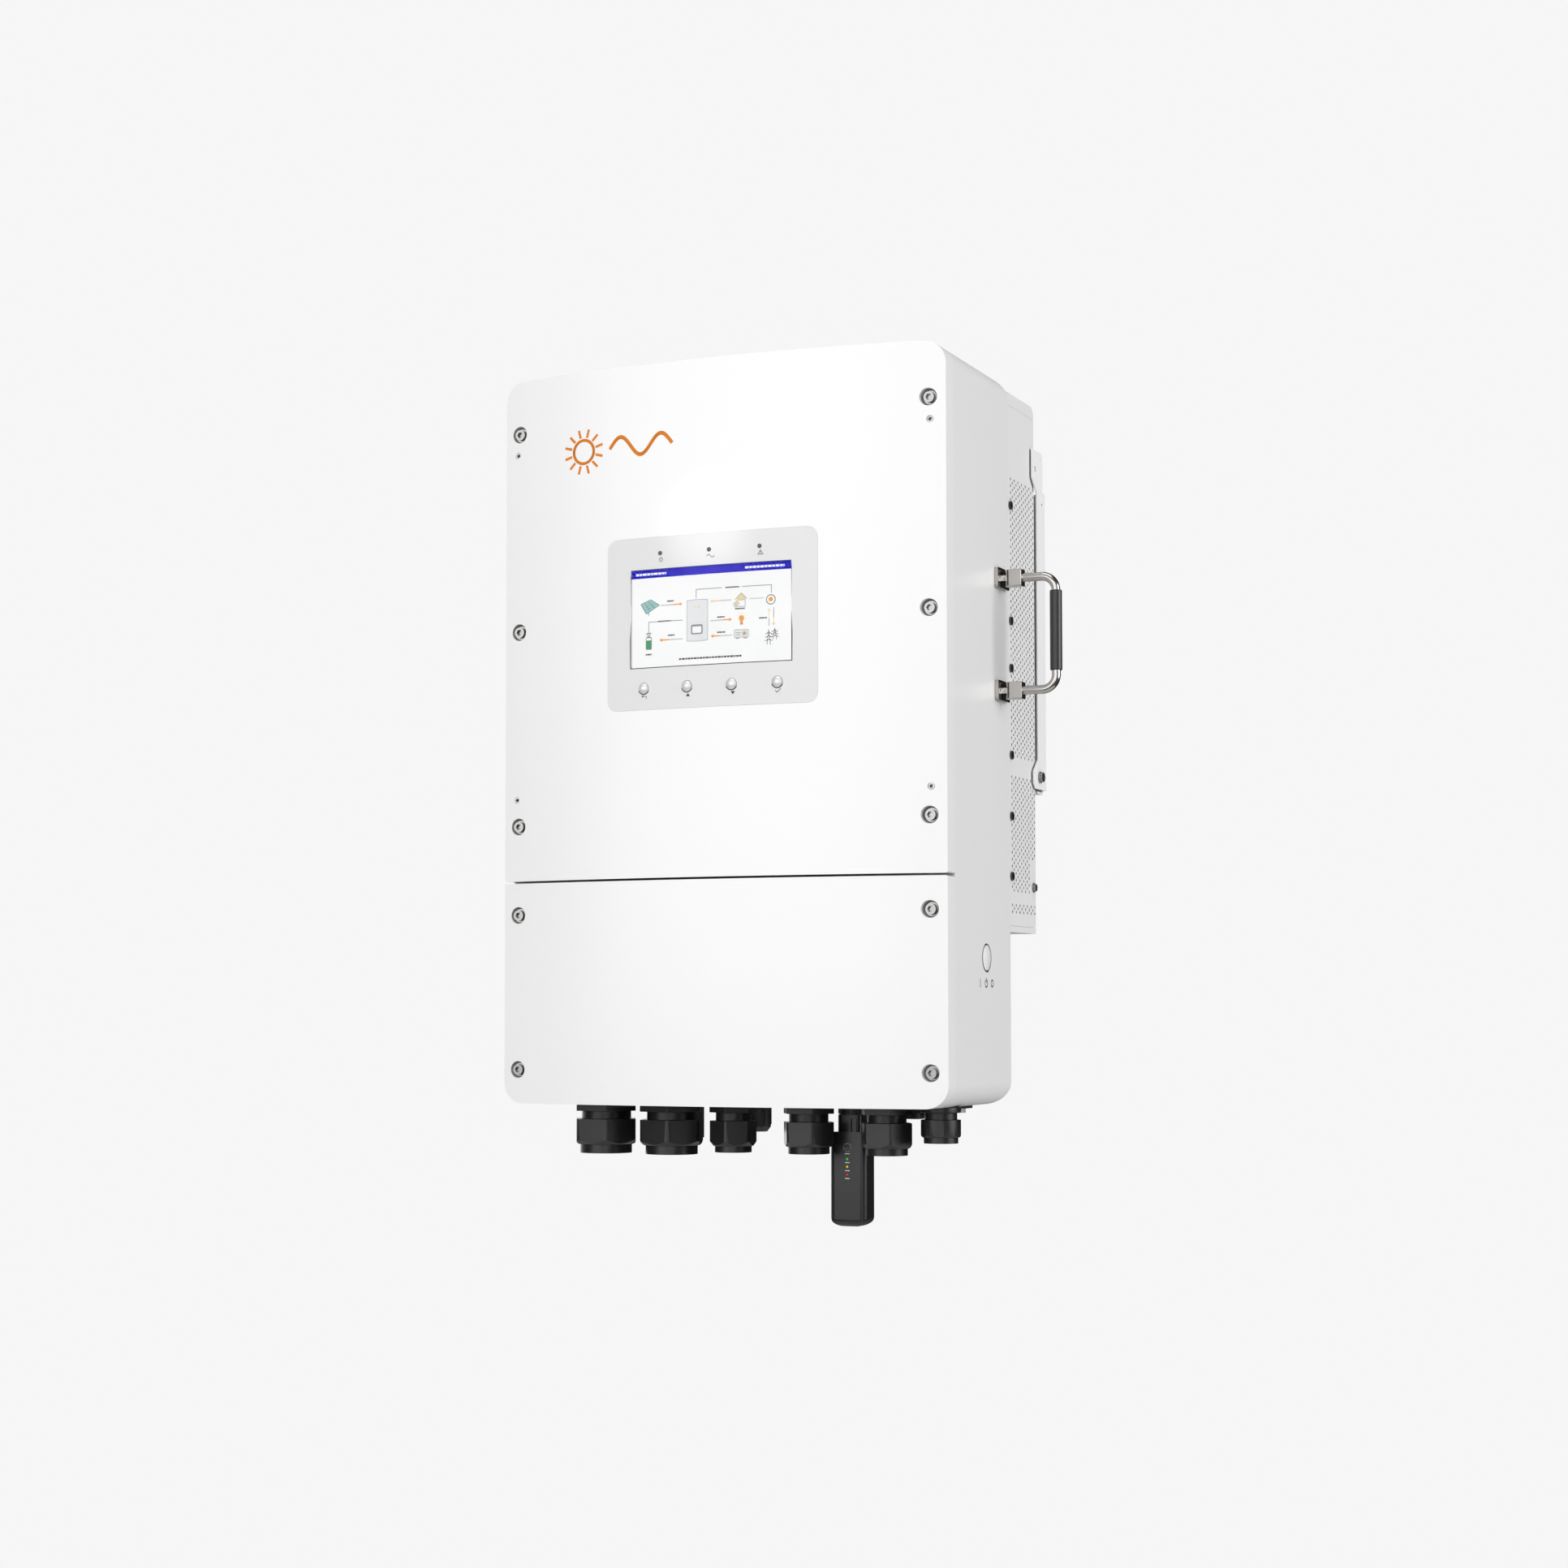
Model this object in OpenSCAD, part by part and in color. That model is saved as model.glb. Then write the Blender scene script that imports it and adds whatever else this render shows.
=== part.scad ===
// String inverter hung on a wall bracket, cooled by a finned heat sink in a perforated shroud.
// Millimetres. X runs across the front, the front faces -Y, Z is up.
// Origin: centre of the wall bracket's four bolt holes, on the wall plane.
// Lengths below are measured in the unit's own frame: Y = 0 at the cover edges,
// Z = 0 at the underside; place() moves everything to the origin above.

/* [Enclosure] */
// Overall width of the enclosure
body_w = 430; // [380:1:520]
// Overall height of the enclosure
body_h = 663.6; // [560:0.1:760]
// Depth from the cover edges to the back of the housing
housing_back = 168; // [140:1:200]
// Corner radius of the outline
corner_r = 20; // [8:1:40]
// Height of the joint between the two covers
seam_z = 201; // [150:1:260]
// Depth of the covers' side flanges
cover_depth = 18; // [12:1:30]
// How far the middle of the front bows out
bulge = 21; // [5:1:40]

/* [Cooling] */
// Depth of the back face of the shroud
shroud_back_y = 252; // [230:1:280]
// Half width over the perforated sides
shroud_x = 212; // [200:0.5:214]
// Thickness of a heat sink fin
fin_t = 2.5; // [1.5:0.1:4]
// Spacing of the heat sink fins
fin_pitch = 12; // [8:0.5:20]

/* [Wall mounting] */
// Depth of the wall plane
wall_y = 278; // [260:1:320]
// Width between the wall bolts
bolt_dx = 300; // [200:5:380]
// Height between the wall bolts
bolt_dz = 240; // [120:5:280]
// Diameter of the wall bolt holes
bolt_hole_d = 9; // [6:0.5:14]

/* [Handles] */
// Distance of the grip from the middle plane
grip_x = 267.7; // [250:0.5:290]
// Height between the two handle arms
handle_span = 102.2; // [80:0.5:140]
// Diameter of the rubber grip
grip_d = 11; // [9:0.5:20]

/* [Hidden] */

bolt_z = 452;
half_w = body_w / 2;
wall_t = 4;
back_t = 5;
skin = 3.5;
inlay = 1.6;
bow_r = (half_w * half_w + bulge * bulge) / (2 * bulge);
bow_y = bow_r - bulge;
seam_gap = 2;
upper_z0 = seam_z + seam_gap / 2;
lower_z1 = seam_z - seam_gap / 2;
upper_screw_z = [252.1, 431, 614.1];
lower_screw_z = [30.7, 171.1];
jack_z = [276.5, 594.6];
screw_x = 200;
jack_x = 201.3;

// Positions on the display panel
panel_x = 102.1;
panel_z0 = 352.2;
panel_z1 = 506.6;
screen_x = 77.9;
screen_z0 = 390;
screen_z1 = 477.7;
button_x = [-64.8, -21.6, 21.6, 64.8];
button_z = 371.3;
led_x = [-48.3, 0, 48.3];
led_z = 491.8;

// Cable glands: [x, width across flats, thread, cable bore, turn, lip end z]
glands = [[-141, 54.2, 40, 26, -3.4, -46], [-74.2, 54.2, 40, 26, -12.7, -46],
  [-12.7, 38, 32, 18, -26, -43.2], [61.2, 42.3, 32, 18, 0, -43.2],
  [135.6, 42.3, 32, 18, -2, -43.2], [186.3, 34.4, 20, 10, 0, -31.6]];
gland_y = 60;
pv_x = [-176, -149, -111, -73.5];
rear_row_y = 110;
stick_x = 91.2;
stick_y = 90;

shroud_z0 = 156;
shroud_z1 = 653;
grille_z0 = 161.8;
grille_z1 = 651.3;
grille_screw_y = 181;
grille_screw_z = [207, 262.1, 318.1, 398.1, 441.7, 548.7];
rear_screw_y = 245;
rear_screw_z = 199;
hole_d = 3;
hole_dy = 5.46;
hole_dz = 6.3;
hole_y0 = 183.4;
fan_z = [247, 385, 505];
fan_y = 211;
fan_x0 = -202;
fan_size = 70;

handle_y = 143;
handle_z = 423.7;
pin_x = 226;
base_x = 218.6;
bar_d = 8;
bend_r = 13;

power_y = 102;
power_z = 131;
switch_y = 100;
switch_z = 131;

$fn = 64;

module place() { translate([0, -wall_y, -bolt_z]) children(); }

module box(x0, x1, y0, y1, z0, z1) {
  translate([x0, y0, z0]) cube([x1 - x0, y1 - y0, z1 - z0]);
}

module rod_x(y, z, x0, x1, d) {
  translate([x0, y, z]) rotate([0, 90, 0]) cylinder(h = x1 - x0, d = d);
}

module rod_y(x, z, y0, y1, d) {
  translate([x, y0, z]) rotate([-90, 0, 0]) cylinder(h = y1 - y0, d = d);
}

module rod_z(x, y, z0, z1, d) {
  translate([x, y, z0]) cylinder(h = z1 - z0, d = d);
}

// Prism with flats: s is the width across the flats
module hex_z(x, y, z0, z1, s, turn, n) {
  translate([x, y, z0]) rotate(turn) cylinder(h = z1 - z0, d = s / cos(180 / n), $fn = n);
}

module hex_y(x, z, y0, y1, s) {
  translate([x, y0, z]) rotate([-90, 0, 0]) cylinder(h = y1 - y0, d = s / cos(30), $fn = 6);
}

module hex_x(y, z, x0, x1, s) {
  translate([x0, y, z]) rotate([0, 90, 0]) cylinder(h = x1 - x0, d = s / cos(30), $fn = 6);
}

// Flat outlines drawn in X and Z are extruded along Y, and so on
module along_y(y0, y1) { translate([0, y1, 0]) rotate([90, 0, 0]) linear_extrude(y1 - y0) children(); }
module along_x(x0, x1) { translate([x0, 0, 0]) rotate([90, 0, 90]) linear_extrude(x1 - x0) children(); }
module along_z(z0, z1) { translate([0, 0, z0]) linear_extrude(z1 - z0) children(); }

module mirror_x() {
  children();
  mirror([1, 0, 0]) children();
}

// Rectangle with its own radius at each end: rb at the low edge, rt at the high edge
module outline(x0, x1, z0, z1, rb, rt) {
  translate([x0, z0 + rb]) square([x1 - x0, z1 - z0 - rb - rt]);
  translate([x0 + rb, z0]) square([x1 - x0 - 2 * rb, rb]);
  translate([x0 + rt, z1 - rt]) square([x1 - x0 - 2 * rt, rt]);
  for (x = [x0 + rb, x1 - rb]) translate([x, z0 + rb]) circle(rb);
  for (x = [x0 + rt, x1 - rt]) translate([x, z1 - rt]) circle(rt);
}

module slab(x0, x1, z0, z1, r) { outline(x0, x1, z0, z1, r, r); }

// Everything behind the bowed front, moved in by depth
module bow(depth) {
  translate([0, bow_y, -10]) cylinder(h = body_h + 20, r = bow_r - depth, $fn = 256);
}

// ---- Enclosure ----

// Housing block moved in by inset on every side but the front
module housing_block(inset) {
  rear = housing_back - (inset > 0 ? back_t : 0);
  r = corner_r - inset;
  intersection() {
    along_y(cover_depth - 1, rear) slab(-half_w + inset, half_w - inset, inset, body_h - inset, r);
    along_x(-half_w, half_w) {
      translate([cover_depth, inset]) square([rear - r - cover_depth, body_h - 2 * inset]);
      translate([rear - r, inset + r]) square([r, body_h - 2 * (inset + r)]);
      for (z = [inset + r, body_h - inset - r]) translate([rear - r, z]) circle(r);
    }
  }
}

module housing_cavities() {
  intersection() {
    housing_block(wall_t);
    union() {
      box(-half_w, half_w, cover_depth + 8, housing_back, seam_z + 2, body_h);
      box(-half_w, half_w, cover_depth + 8, housing_back, 0, seam_z - 2);
    }
  }
  along_y(cover_depth - 2, cover_depth + 9) slab(-206, 206, seam_z + 8, body_h - 9, 11);
  along_y(cover_depth - 2, cover_depth + 9) slab(-206, 206, 9, seam_z - 8, 11);
}

module gasket_ring(z0, z1, rb, rt, y0, y1) {
  along_y(y0, y1) difference() {
    outline(-half_w + 2.5, half_w - 2.5, z0, z1, rb, rt);
    outline(-half_w + 5.5, half_w - 5.5, z0 + 3, z1 - 3, max(rb - 3, 1), max(rt - 3, 1));
  }
}

module upper_ring(y0, y1) { gasket_ring(seam_z + 3, body_h - 2.5, 4, corner_r - 2.5, y0, y1); }
module lower_ring(y0, y1) { gasket_ring(2.5, seam_z - 3, corner_r - 2.5, 4, y0, y1); }

module cover_screw_points(zs, x) {
  for (s = [-1, 1]) for (z = zs) translate([s * x, 0, z]) children();
}

module main_housing() color([0.93, 0.93, 0.93]) place() difference() {
  union() {
    difference() {
      housing_block(0);
      housing_cavities();
    }
    // Columns that take the cover screws
    cover_screw_points(concat(upper_screw_z, lower_screw_z), screw_x) rod_y(0, 0, cover_depth, 54, 17);
    for (s = [-1, 1]) for (z = concat(upper_screw_z, lower_screw_z))
      box(s > 0 ? screw_x : -212, s > 0 ? 212 : -screw_x, cover_depth + 8, 54, z - 8, z + 8);
    // Pads behind the handle bases
    for (s = [-1, 1]) for (t = [-1, 1])
      box(s > 0 ? 204 : -212, s > 0 ? 212 : -204, handle_y - 18, handle_y + 18,
        handle_z + t * handle_span / 2 - 10, handle_z + t * handle_span / 2 + 10);
    // Posts that carry the power board
    for (x = [-180, 0, 180]) for (z = [232, 368, 520]) rod_y(x, z, 140, housing_back - 2, 10);
  }
  upper_ring(cover_depth - 1, cover_depth + 2.4);
  lower_ring(cover_depth - 1, cover_depth + 2.4);
  cover_screw_points(concat(upper_screw_z, lower_screw_z), screw_x) rod_y(0, 0, cover_depth - 1, 46, 6.1);
  mirror_x() for (t = [-1, 1]) for (u = [-1, 1])
    rod_x(handle_y + u * 10.4, handle_z + t * handle_span / 2, 202, 216, 5.1);
  // Cable way between the two chambers
  box(-60, 60, 104, 140, seam_z - 4, seam_z + 4);
  for (g = glands) rod_z(g[0], gland_y, -1, wall_t + 1, g[2] + 0.1);
  rod_z(glands[5][0], gland_y, wall_t, wall_t + 8, 34.2);
  for (x = pv_x) rod_z(x, rear_row_y, -1, wall_t + 1, 14.1);
  rod_z(-11, rear_row_y, -1, wall_t + 1, 16.1);
  box(112, 146, rear_row_y - 8, rear_row_y + 8, -1, wall_t + 1);
  rod_z(186, rear_row_y, -1, wall_t + 1, 6.1);
  rod_z(stick_x, stick_y, -1, wall_t + 1, 16.1);
  rod_x(power_y, power_z, 208, 216, 25.1);
  rod_x(switch_y, switch_z, -216, -208, 12);
}

module cover_shell(z0, z1, rb, rt, screw_zs, jack_zs) {
  difference() {
    union() {
      difference() {
        intersection() {
          along_y(-bulge - 5, cover_depth) outline(-half_w, half_w, z0, z1, rb, rt);
          bow(0);
        }
        intersection() {
          along_y(-bulge - 5, cover_depth - 5)
            outline(-half_w + skin, half_w - skin, z0 + skin, z1 - skin, max(rb - skin, 1), max(rt - skin, 1));
          bow(skin);
        }
        along_y(cover_depth - 5, cover_depth + 1)
          outline(-half_w + 9, half_w - 9, z0 + 8, z1 - 9, max(rb - 9, 3), max(rt - 9, 3));
      }
      cover_screw_points(screw_zs, screw_x) rod_y(0, 0, -1, cover_depth, 19);
      cover_screw_points(jack_zs, jack_x) rod_y(0, 0, -1, cover_depth, 12);
    }
    cover_screw_points(screw_zs, screw_x) {
      rod_y(0, 0, -5, cover_depth + 1, 6.6);
      translate([0, -6, 0]) rotate([-90, 0, 0]) cylinder(h = 9, d1 = 17.1, d2 = 12.6);
    }
    cover_screw_points(jack_zs, jack_x) rod_y(0, 0, -5, cover_depth + 1, 6.3);
  }
}

module upper_cover() color([0.96, 0.96, 0.96]) place() difference() {
  union() {
    cover_shell(upper_z0, body_h, 2, corner_r, upper_screw_z, jack_z);
    // Posts for the display board
    for (x = [-92, 92]) for (z = [357.5, 501.5]) rod_y(x, z, -15, -5, 8);
  }
  difference() {
    along_y(-bulge - 5, 0) slab(-panel_x - 0.1, panel_x + 0.1, panel_z0 - 0.1, panel_z1 + 0.1, 10);
    bow(inlay);
  }
  box(-screen_x - 0.6, screen_x + 0.6, -bulge - 5, -10, screen_z0 - 0.6, screen_z1 + 0.6);
  for (x = button_x) rod_y(x, button_z, -bulge - 5, -10, 10.4);
  for (x = led_x) rod_y(x, led_z, -bulge - 5, -10, 4.1);
}

module lower_cover() color([0.96, 0.96, 0.96]) place()
  cover_shell(0, lower_z1, corner_r, 2, lower_screw_z, []);

module upper_cover_gasket() color([0.1, 0.1, 0.1]) place() upper_ring(cover_depth, cover_depth + 2.4);
module lower_cover_gasket() color([0.1, 0.1, 0.1]) place() lower_ring(cover_depth, cover_depth + 2.4);

// Socket head screw with a captive washer
module cover_screw() difference() {
  union() {
    rod_y(0, 0, 1.8, 3, 12.2);
    rod_y(0, 0, -2.2, 1.8, 9.6);
    rod_y(0, 0, 3, 43, 6);
  }
  hex_y(0, 0, -3, 0.6, 5);
}

module upper_cover_screws() color([0.75, 0.75, 0.75]) place()
  cover_screw_points(upper_screw_z, screw_x) cover_screw();

module lower_cover_screws() color([0.75, 0.75, 0.75]) place()
  cover_screw_points(lower_screw_z, screw_x) cover_screw();

module cover_jack_screws() color([0.7, 0.7, 0.7]) place()
  cover_screw_points(jack_z, jack_x) difference() {
    rod_y(0, 0, -2.3, 15, 6.2);
    hex_y(0, 0, -3, 1.2, 3);
  }

// ---- Display and keys ----

module display_panel() color([0.86, 0.87, 0.88]) place() difference() {
  intersection() {
    along_y(-bulge - 5, 0) slab(-panel_x, panel_x, panel_z0, panel_z1, 9.9);
    bow(-0.15);
  }
  bow(inlay);
  along_y(-bulge - 5, 0) slab(-screen_x - 0.15, screen_x + 0.15, screen_z0 - 0.15, screen_z1 + 0.15, 1.2);
  for (x = button_x) rod_y(x, button_z, -bulge - 5, 0, 10.4);
  for (x = led_x) rod_y(x, led_z, -bulge - 5, 0, 4.1);
}

module display_window() color([0.7, 0.8, 0.85, 0.5]) place() difference() {
  intersection() {
    along_y(-bulge - 5, 0) slab(-screen_x, screen_x, screen_z0, screen_z1, 1.1);
    bow(0);
  }
  bow(inlay);
}

module lcd_module() color([0.2, 0.35, 0.55]) place() difference() {
  union() {
    box(-82, 82, -13.8, -7, screen_z0 - 7, screen_z1 + 6);
    for (x = [-74, 74]) for (z = [screen_z0 - 1, screen_z1]) rod_y(x, z, -7, -5, 6);
  }
  box(-77, 77, -15, -13.2, screen_z0 + 0.8, screen_z1 - 0.8);
}

// Circuit board with one push switch behind every key and a light behind every lens
module hmi_board() color([0.1, 0.4, 0.2]) place() {
  difference() {
    box(-98, 98, -5, -3.4, 353.5, 505.5);
    for (x = [-92, 92]) for (z = [357.5, 501.5]) rod_y(x, z, -6, -2, 3.2);
  }
  for (x = button_x) {
    box(x - 3, x + 3, -8.6, -5, button_z - 3, button_z + 3);
    rod_y(x, button_z, -9.2, -8.6, 3.4);
  }
  for (x = led_x) box(x - 1.5, x + 1.5, -6, -5, led_z - 1.5, led_z + 1.5);
  box(-40, -10, -3.4, 0.6, 430, 460);
  box(20, 70, -3.4, 5.6, 440, 452);
}

module indicator_lenses() color([0.35, 0.36, 0.37]) place()
  for (x = led_x) rod_y(x, led_z, -bulge + bulge * pow(x / half_w, 2) - 0.35, -6, 4);

// Domed key with a collar behind the panel and a stem down to its switch
module key(i) {
  x = button_x[i];
  y = -bulge + bulge * pow(x / half_w, 2);
  rod_y(x, button_z, y + 4.3, y + 5.3, 13);
  rod_y(x, button_z, y + 5.3, -10.6, 4);
  intersection() {
    rod_y(x, button_z, y - 2.6, y + 4.3, 9.6);
    translate([x, y + 4.5, button_z]) sphere(d = 14);
  }
}

module button_back() color([0.8, 0.8, 0.8]) place() key(0);
module button_up() color([0.8, 0.8, 0.8]) place() key(1);
module button_down() color([0.8, 0.8, 0.8]) place() key(2);
module button_enter() color([0.8, 0.8, 0.8]) place() key(3);

// Domed disc on a stem
module power_button() color([0.95, 0.95, 0.95]) place() translate([160, power_y, power_z]) rotate([0, 90, 0]) union() {
  rotate_extrude() intersection() {
    circle(d = 112);
    translate([0, 43]) square([11.2, 14]);
  }
  translate([0, 0, 35]) cylinder(h = 9, d = 8);
}

module power_button_body() color([0.15, 0.15, 0.15]) place() difference() {
  union() {
    rod_x(power_y, power_z, 180, 214.2, 25);
    rod_x(power_y, power_z, 205, 211, 31);
    box(168, 181, power_y - 10, power_y + 10, power_z - 10, power_z + 10);
  }
  rod_x(power_y, power_z, 199, 216, 23);
  rod_x(power_y, power_z, 190, 200, 8.1);
}

module dc_switch_body() color([0.15, 0.15, 0.15]) place() difference() {
  union() {
    box(-220, -215, switch_y - 26, switch_y + 26, switch_z - 26, switch_z + 26);
    rod_x(switch_y, switch_z, -215, -205, 11.9);
    box(-211, -150, switch_y - 24, switch_y + 24, switch_z - 24, switch_z + 24);
  }
  rod_x(switch_y, switch_z, -221, -190, 8.1);
}

module dc_switch_knob() color([0.75, 0.1, 0.1]) place() union() {
  rod_x(switch_y, switch_z, -224, -220.4, 40);
  rod_x(switch_y, switch_z, -221, -192, 8);
  box(-236, -224, switch_y - 5, switch_y + 5, switch_z - 18, switch_z + 18);
}

// ---- Cooling ----

module heat_sink() color([0.7, 0.71, 0.72]) place() difference() {
  union() {
    box(-203, 203, housing_back, 176, 172, 642);
    mirror_x() for (z = grille_screw_z) box(202, 210.4, housing_back, 187, z - 8, z + 8);
    for (z = [180 : fin_pitch : 634]) box(-170, 200, 175, 246, z, z + fin_t);
  }
  mirror_x() for (z = grille_screw_z) rod_x(grille_screw_y, z, 202, 211, 4.1);
}

// Clear of every screw head, so a hole may be cut there
function clear_hole(y, z) =
  min([for (s = grille_screw_z) norm([y - grille_screw_y, z - s])]) > 6.4 &&
  norm([y - rear_screw_y, z - rear_screw_z]) > 10 && (y < 236 || z > 225 || z < 185);

// Perforated side sheet: round holes on a triangular pitch in two fields and a short band at the foot
module grille_field(z0, rows) {
  for (c = [0 : 12]) for (r = [0 : rows - 1]) {
    y = hole_y0 + c * hole_dy;
    z = z0 + r * hole_dz + (c % 2 == 0 ? hole_dz / 2 : 0);
    if (clear_hole(y, z)) translate([y, z]) circle(d = hole_d, $fn = 24);
  }
}

module grille_right_shape() along_x(shroud_x - 1.5, shroud_x) difference() {
  outline(169, shroud_back_y, grille_z0, grille_z1 - 10, 3, 3);
  grille_field(194.4, 17);
  grille_field(318.5, 41);
  grille_field(177.7, 1);
  for (c = [0 : 2 : 12]) translate([hole_y0 + c * hole_dy, 174.6]) circle(d = hole_d, $fn = 24);
  for (z = grille_screw_z) translate([grille_screw_y, z]) circle(d = 4.4);
  translate([rear_screw_y, rear_screw_z]) circle(d = 5.2);
}

module grille_right() color([0.9, 0.9, 0.9]) place() grille_right_shape();
module grille_left() color([0.9, 0.9, 0.9]) place() mirror([1, 0, 0]) grille_right_shape();

// Side view of the shroud with a rounded rear top corner, moved in by inset
module shroud_profile(inset) {
  outline(100, shroud_back_y - inset, shroud_z0 + inset, shroud_z1 - inset, 1.9 - inset, 9 - inset);
}

// Bent sheet: back, top, foot tray and the tabs that carry the rear screws
module shroud_shell() color([0.88, 0.88, 0.88]) place() difference() {
  intersection() {
    union() {
      along_x(-210.4, 210.4) difference() {
        shroud_profile(0);
        shroud_profile(1.5);
      }
      mirror_x() {
        box(208.4, 210.4, 238, shroud_back_y - 1, 190, 210);
        box(208.4, 210.4, 240, shroud_back_y - 1, 400, 420);
        box(208.4, 210.4, 240, shroud_back_y - 1, 600, 638);
        intersection() {
          along_x(208.4, shroud_x) shroud_profile(0);
          box(208, shroud_x + 1, housing_back, shroud_back_y, shroud_z0, 161.6);
        }
        intersection() {
          along_x(208.4, shroud_x) shroud_profile(0);
          box(208, shroud_x + 1, housing_back, shroud_back_y, grille_z1 - 9.8, shroud_z1);
        }
      }
    }
    box(-220, 220, housing_back, shroud_back_y + 1, shroud_z0 - 1, shroud_z1 + 1);
  }
  mirror_x() rod_x(rear_screw_y, rear_screw_z, 200, 213, 5.1);
}

module grille_screws() color([0.45, 0.45, 0.45]) place() mirror_x() for (z = grille_screw_z) difference() {
  union() {
    rod_x(grille_screw_y, z, 203, shroud_x, 4);
    rod_x(grille_screw_y, z, shroud_x, shroud_x + 1.8, 8);
  }
  hex_x(grille_screw_y, z, shroud_x + 0.6, shroud_x + 3, 2.5);
}

module shroud_rear_screws() color([0.6, 0.6, 0.6]) place() mirror_x()
  translate([0, rear_screw_y, rear_screw_z]) difference() {
    union() {
      rod_x(0, 0, 204, shroud_x, 5);
      rod_x(0, 0, shroud_x, shroud_x + 1, 9);
      rod_x(0, 0, shroud_x + 1, shroud_x + 3, 7);
    }
    hex_x(0, 0, shroud_x + 1.2, shroud_x + 4, 4);
  }

module fan_frame(z) difference() {
  union() {
    difference() {
      box(fan_x0, fan_x0 + 25, fan_y - fan_size / 2, fan_y + fan_size / 2, z - fan_size / 2, z + fan_size / 2);
      rod_x(fan_y, z, fan_x0 - 1, fan_x0 + 26, 66);
    }
    rod_x(fan_y, z, fan_x0 + 21, fan_x0 + 25, 28);
    for (a = [45, 135, 225, 315]) translate([0, fan_y, z]) rotate([a, 0, 0])
      box(fan_x0 + 22, fan_x0 + 25, 12, 34, -2, 2);
  }
  rod_x(fan_y, z, fan_x0 + 15, fan_x0 + 26, 4.1);
  for (u = [-1, 1]) for (v = [-1, 1])
    rod_x(fan_y + u * 30.5, z + v * 30.5, fan_x0 - 1, fan_x0 + 26, 4.3);
}

module fan_frames() color([0.12, 0.12, 0.12]) place() for (z = fan_z) fan_frame(z);

module fan_rotor(z) {
  rod_x(fan_y, z, fan_x0 + 3, fan_x0 + 20.4, 30);
  rod_x(fan_y, z, fan_x0 + 20, fan_x0 + 24.6, 4);
  intersection() {
    for (a = [0 : 51.43 : 359]) translate([fan_x0 + 11.5, fan_y, z]) rotate([a, 0, 0]) rotate([0, 38, 0])
      translate([-1, 13, -9]) cube([2, 26, 18]);
    rod_x(fan_y, z, fan_x0 + 2, fan_x0 + 20.4, 64);
  }
}

module fan_rotor_low() color([0.2, 0.2, 0.2]) place() fan_rotor(fan_z[0]);
module fan_rotor_mid() color([0.2, 0.2, 0.2]) place() fan_rotor(fan_z[1]);
module fan_rotor_high() color([0.2, 0.2, 0.2]) place() fan_rotor(fan_z[2]);

// ---- Wall mounting ----

// Hook rail on the unit's back, and the tabs that the lock screws go into
module hanger_bracket() color([0.75, 0.75, 0.75]) place() difference() {
  union() {
    box(-196, 196, shroud_back_y, 254, 296, 600);
    box(-180, 180, 253, 268, 586, 588);
    box(-180, 180, 266, 268, 574, 588);
    mirror_x() box(196, 208.5, shroud_back_y, 254, 296, 311);
    mirror_x() box(208.5, 213.4, shroud_back_y + 0.5, 268, 296, 311);
  }
  box(-120, 120, 251, 255, 330, 560);
  mirror_x() rod_x(258, 303.4, 200, 214, 5.1);
}

module wall_bracket() color([0.92, 0.92, 0.92]) place() difference() {
  union() {
    box(-214.6, 214.6, 276, wall_y, 292, 575);
    box(-196, 196, 276, wall_y, 574, 612);
    box(-211, 211, 262, 277, 288.5, 290.5);
    box(-211, 211, 276, wall_y, 288.5, 293);
    mirror_x() along_x(213.4, 214.6) {
      polygon([[wall_y, 292], [wall_y, 575], [271.5, 575], [271.5, 606], [239.8, 606], [239.8, 585],
        [254, 572], [254, 320], [240.6, 308], [240.6, 297], [246, 292]]);
      translate([239.8, 605]) square([25.7, 7]);
      translate([265.5, 606]) circle(r = 6);
    }
    box(-190, 190, 262, 277, 567, 570);
    box(-190, 190, 262, 264, 569, 586);
  }
  for (s = [-1, 1]) for (t = [-1, 1]) rod_y(s * bolt_dx / 2, bolt_z + t * bolt_dz / 2, 275, wall_y + 1, bolt_hole_d);
  for (z = [380, 452, 524]) box(-60, 60, 275, wall_y + 1, z - 5, z + 5);
  mirror_x() {
    rod_x(258, 303.4, 212, 216, 5.2);
    rod_x(248.5, 594.1, 212, 216, 5.7);
    rod_x(266.1, 606.3, 212, 216, 2);
    rod_x(269.1, 563.7, 212, 216, 2.4);
  }
}

module bracket_lock_screws() color([0.6, 0.6, 0.6]) place() mirror_x() difference() {
  union() {
    rod_x(258, 303.4, 203, 214.6, 5);
    rod_x(258, 303.4, 214.6, 216, 10.8);
    rod_x(258, 303.4, 216, 218.5, 9.2);
  }
  hex_x(258, 303.4, 216.6, 219, 5);
}

// ---- Handles ----

module handle_arms() { for (t = [-1, 1]) translate([0, handle_y, handle_z + t * handle_span / 2]) children(); }

// Square plate with a lug that carries the hinge pin
module handle_base() difference() {
  union() {
    along_x(half_w, base_x) slab(-16.5, 16.5, -9, 9, 2.5);
    box(base_x - 1, pin_x, -4.5, 4.5, -2.5, 2.5);
    rod_z(pin_x, 0, -2.5, 2.5, 9);
  }
  rod_z(pin_x, 0, -4, 4, 4.1);
  for (u = [-1, 1]) {
    rod_x(u * 10.4, 0, half_w - 1, base_x + 1, 5.1);
    translate([base_x - 2.4, u * 10.4, 0]) rotate([0, 90, 0]) cylinder(h = 2.5, d1 = 5.1, d2 = 9.9);
  }
}

module handle_bases() color([0.7, 0.68, 0.64]) place() mirror_x() handle_arms() handle_base();

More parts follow.
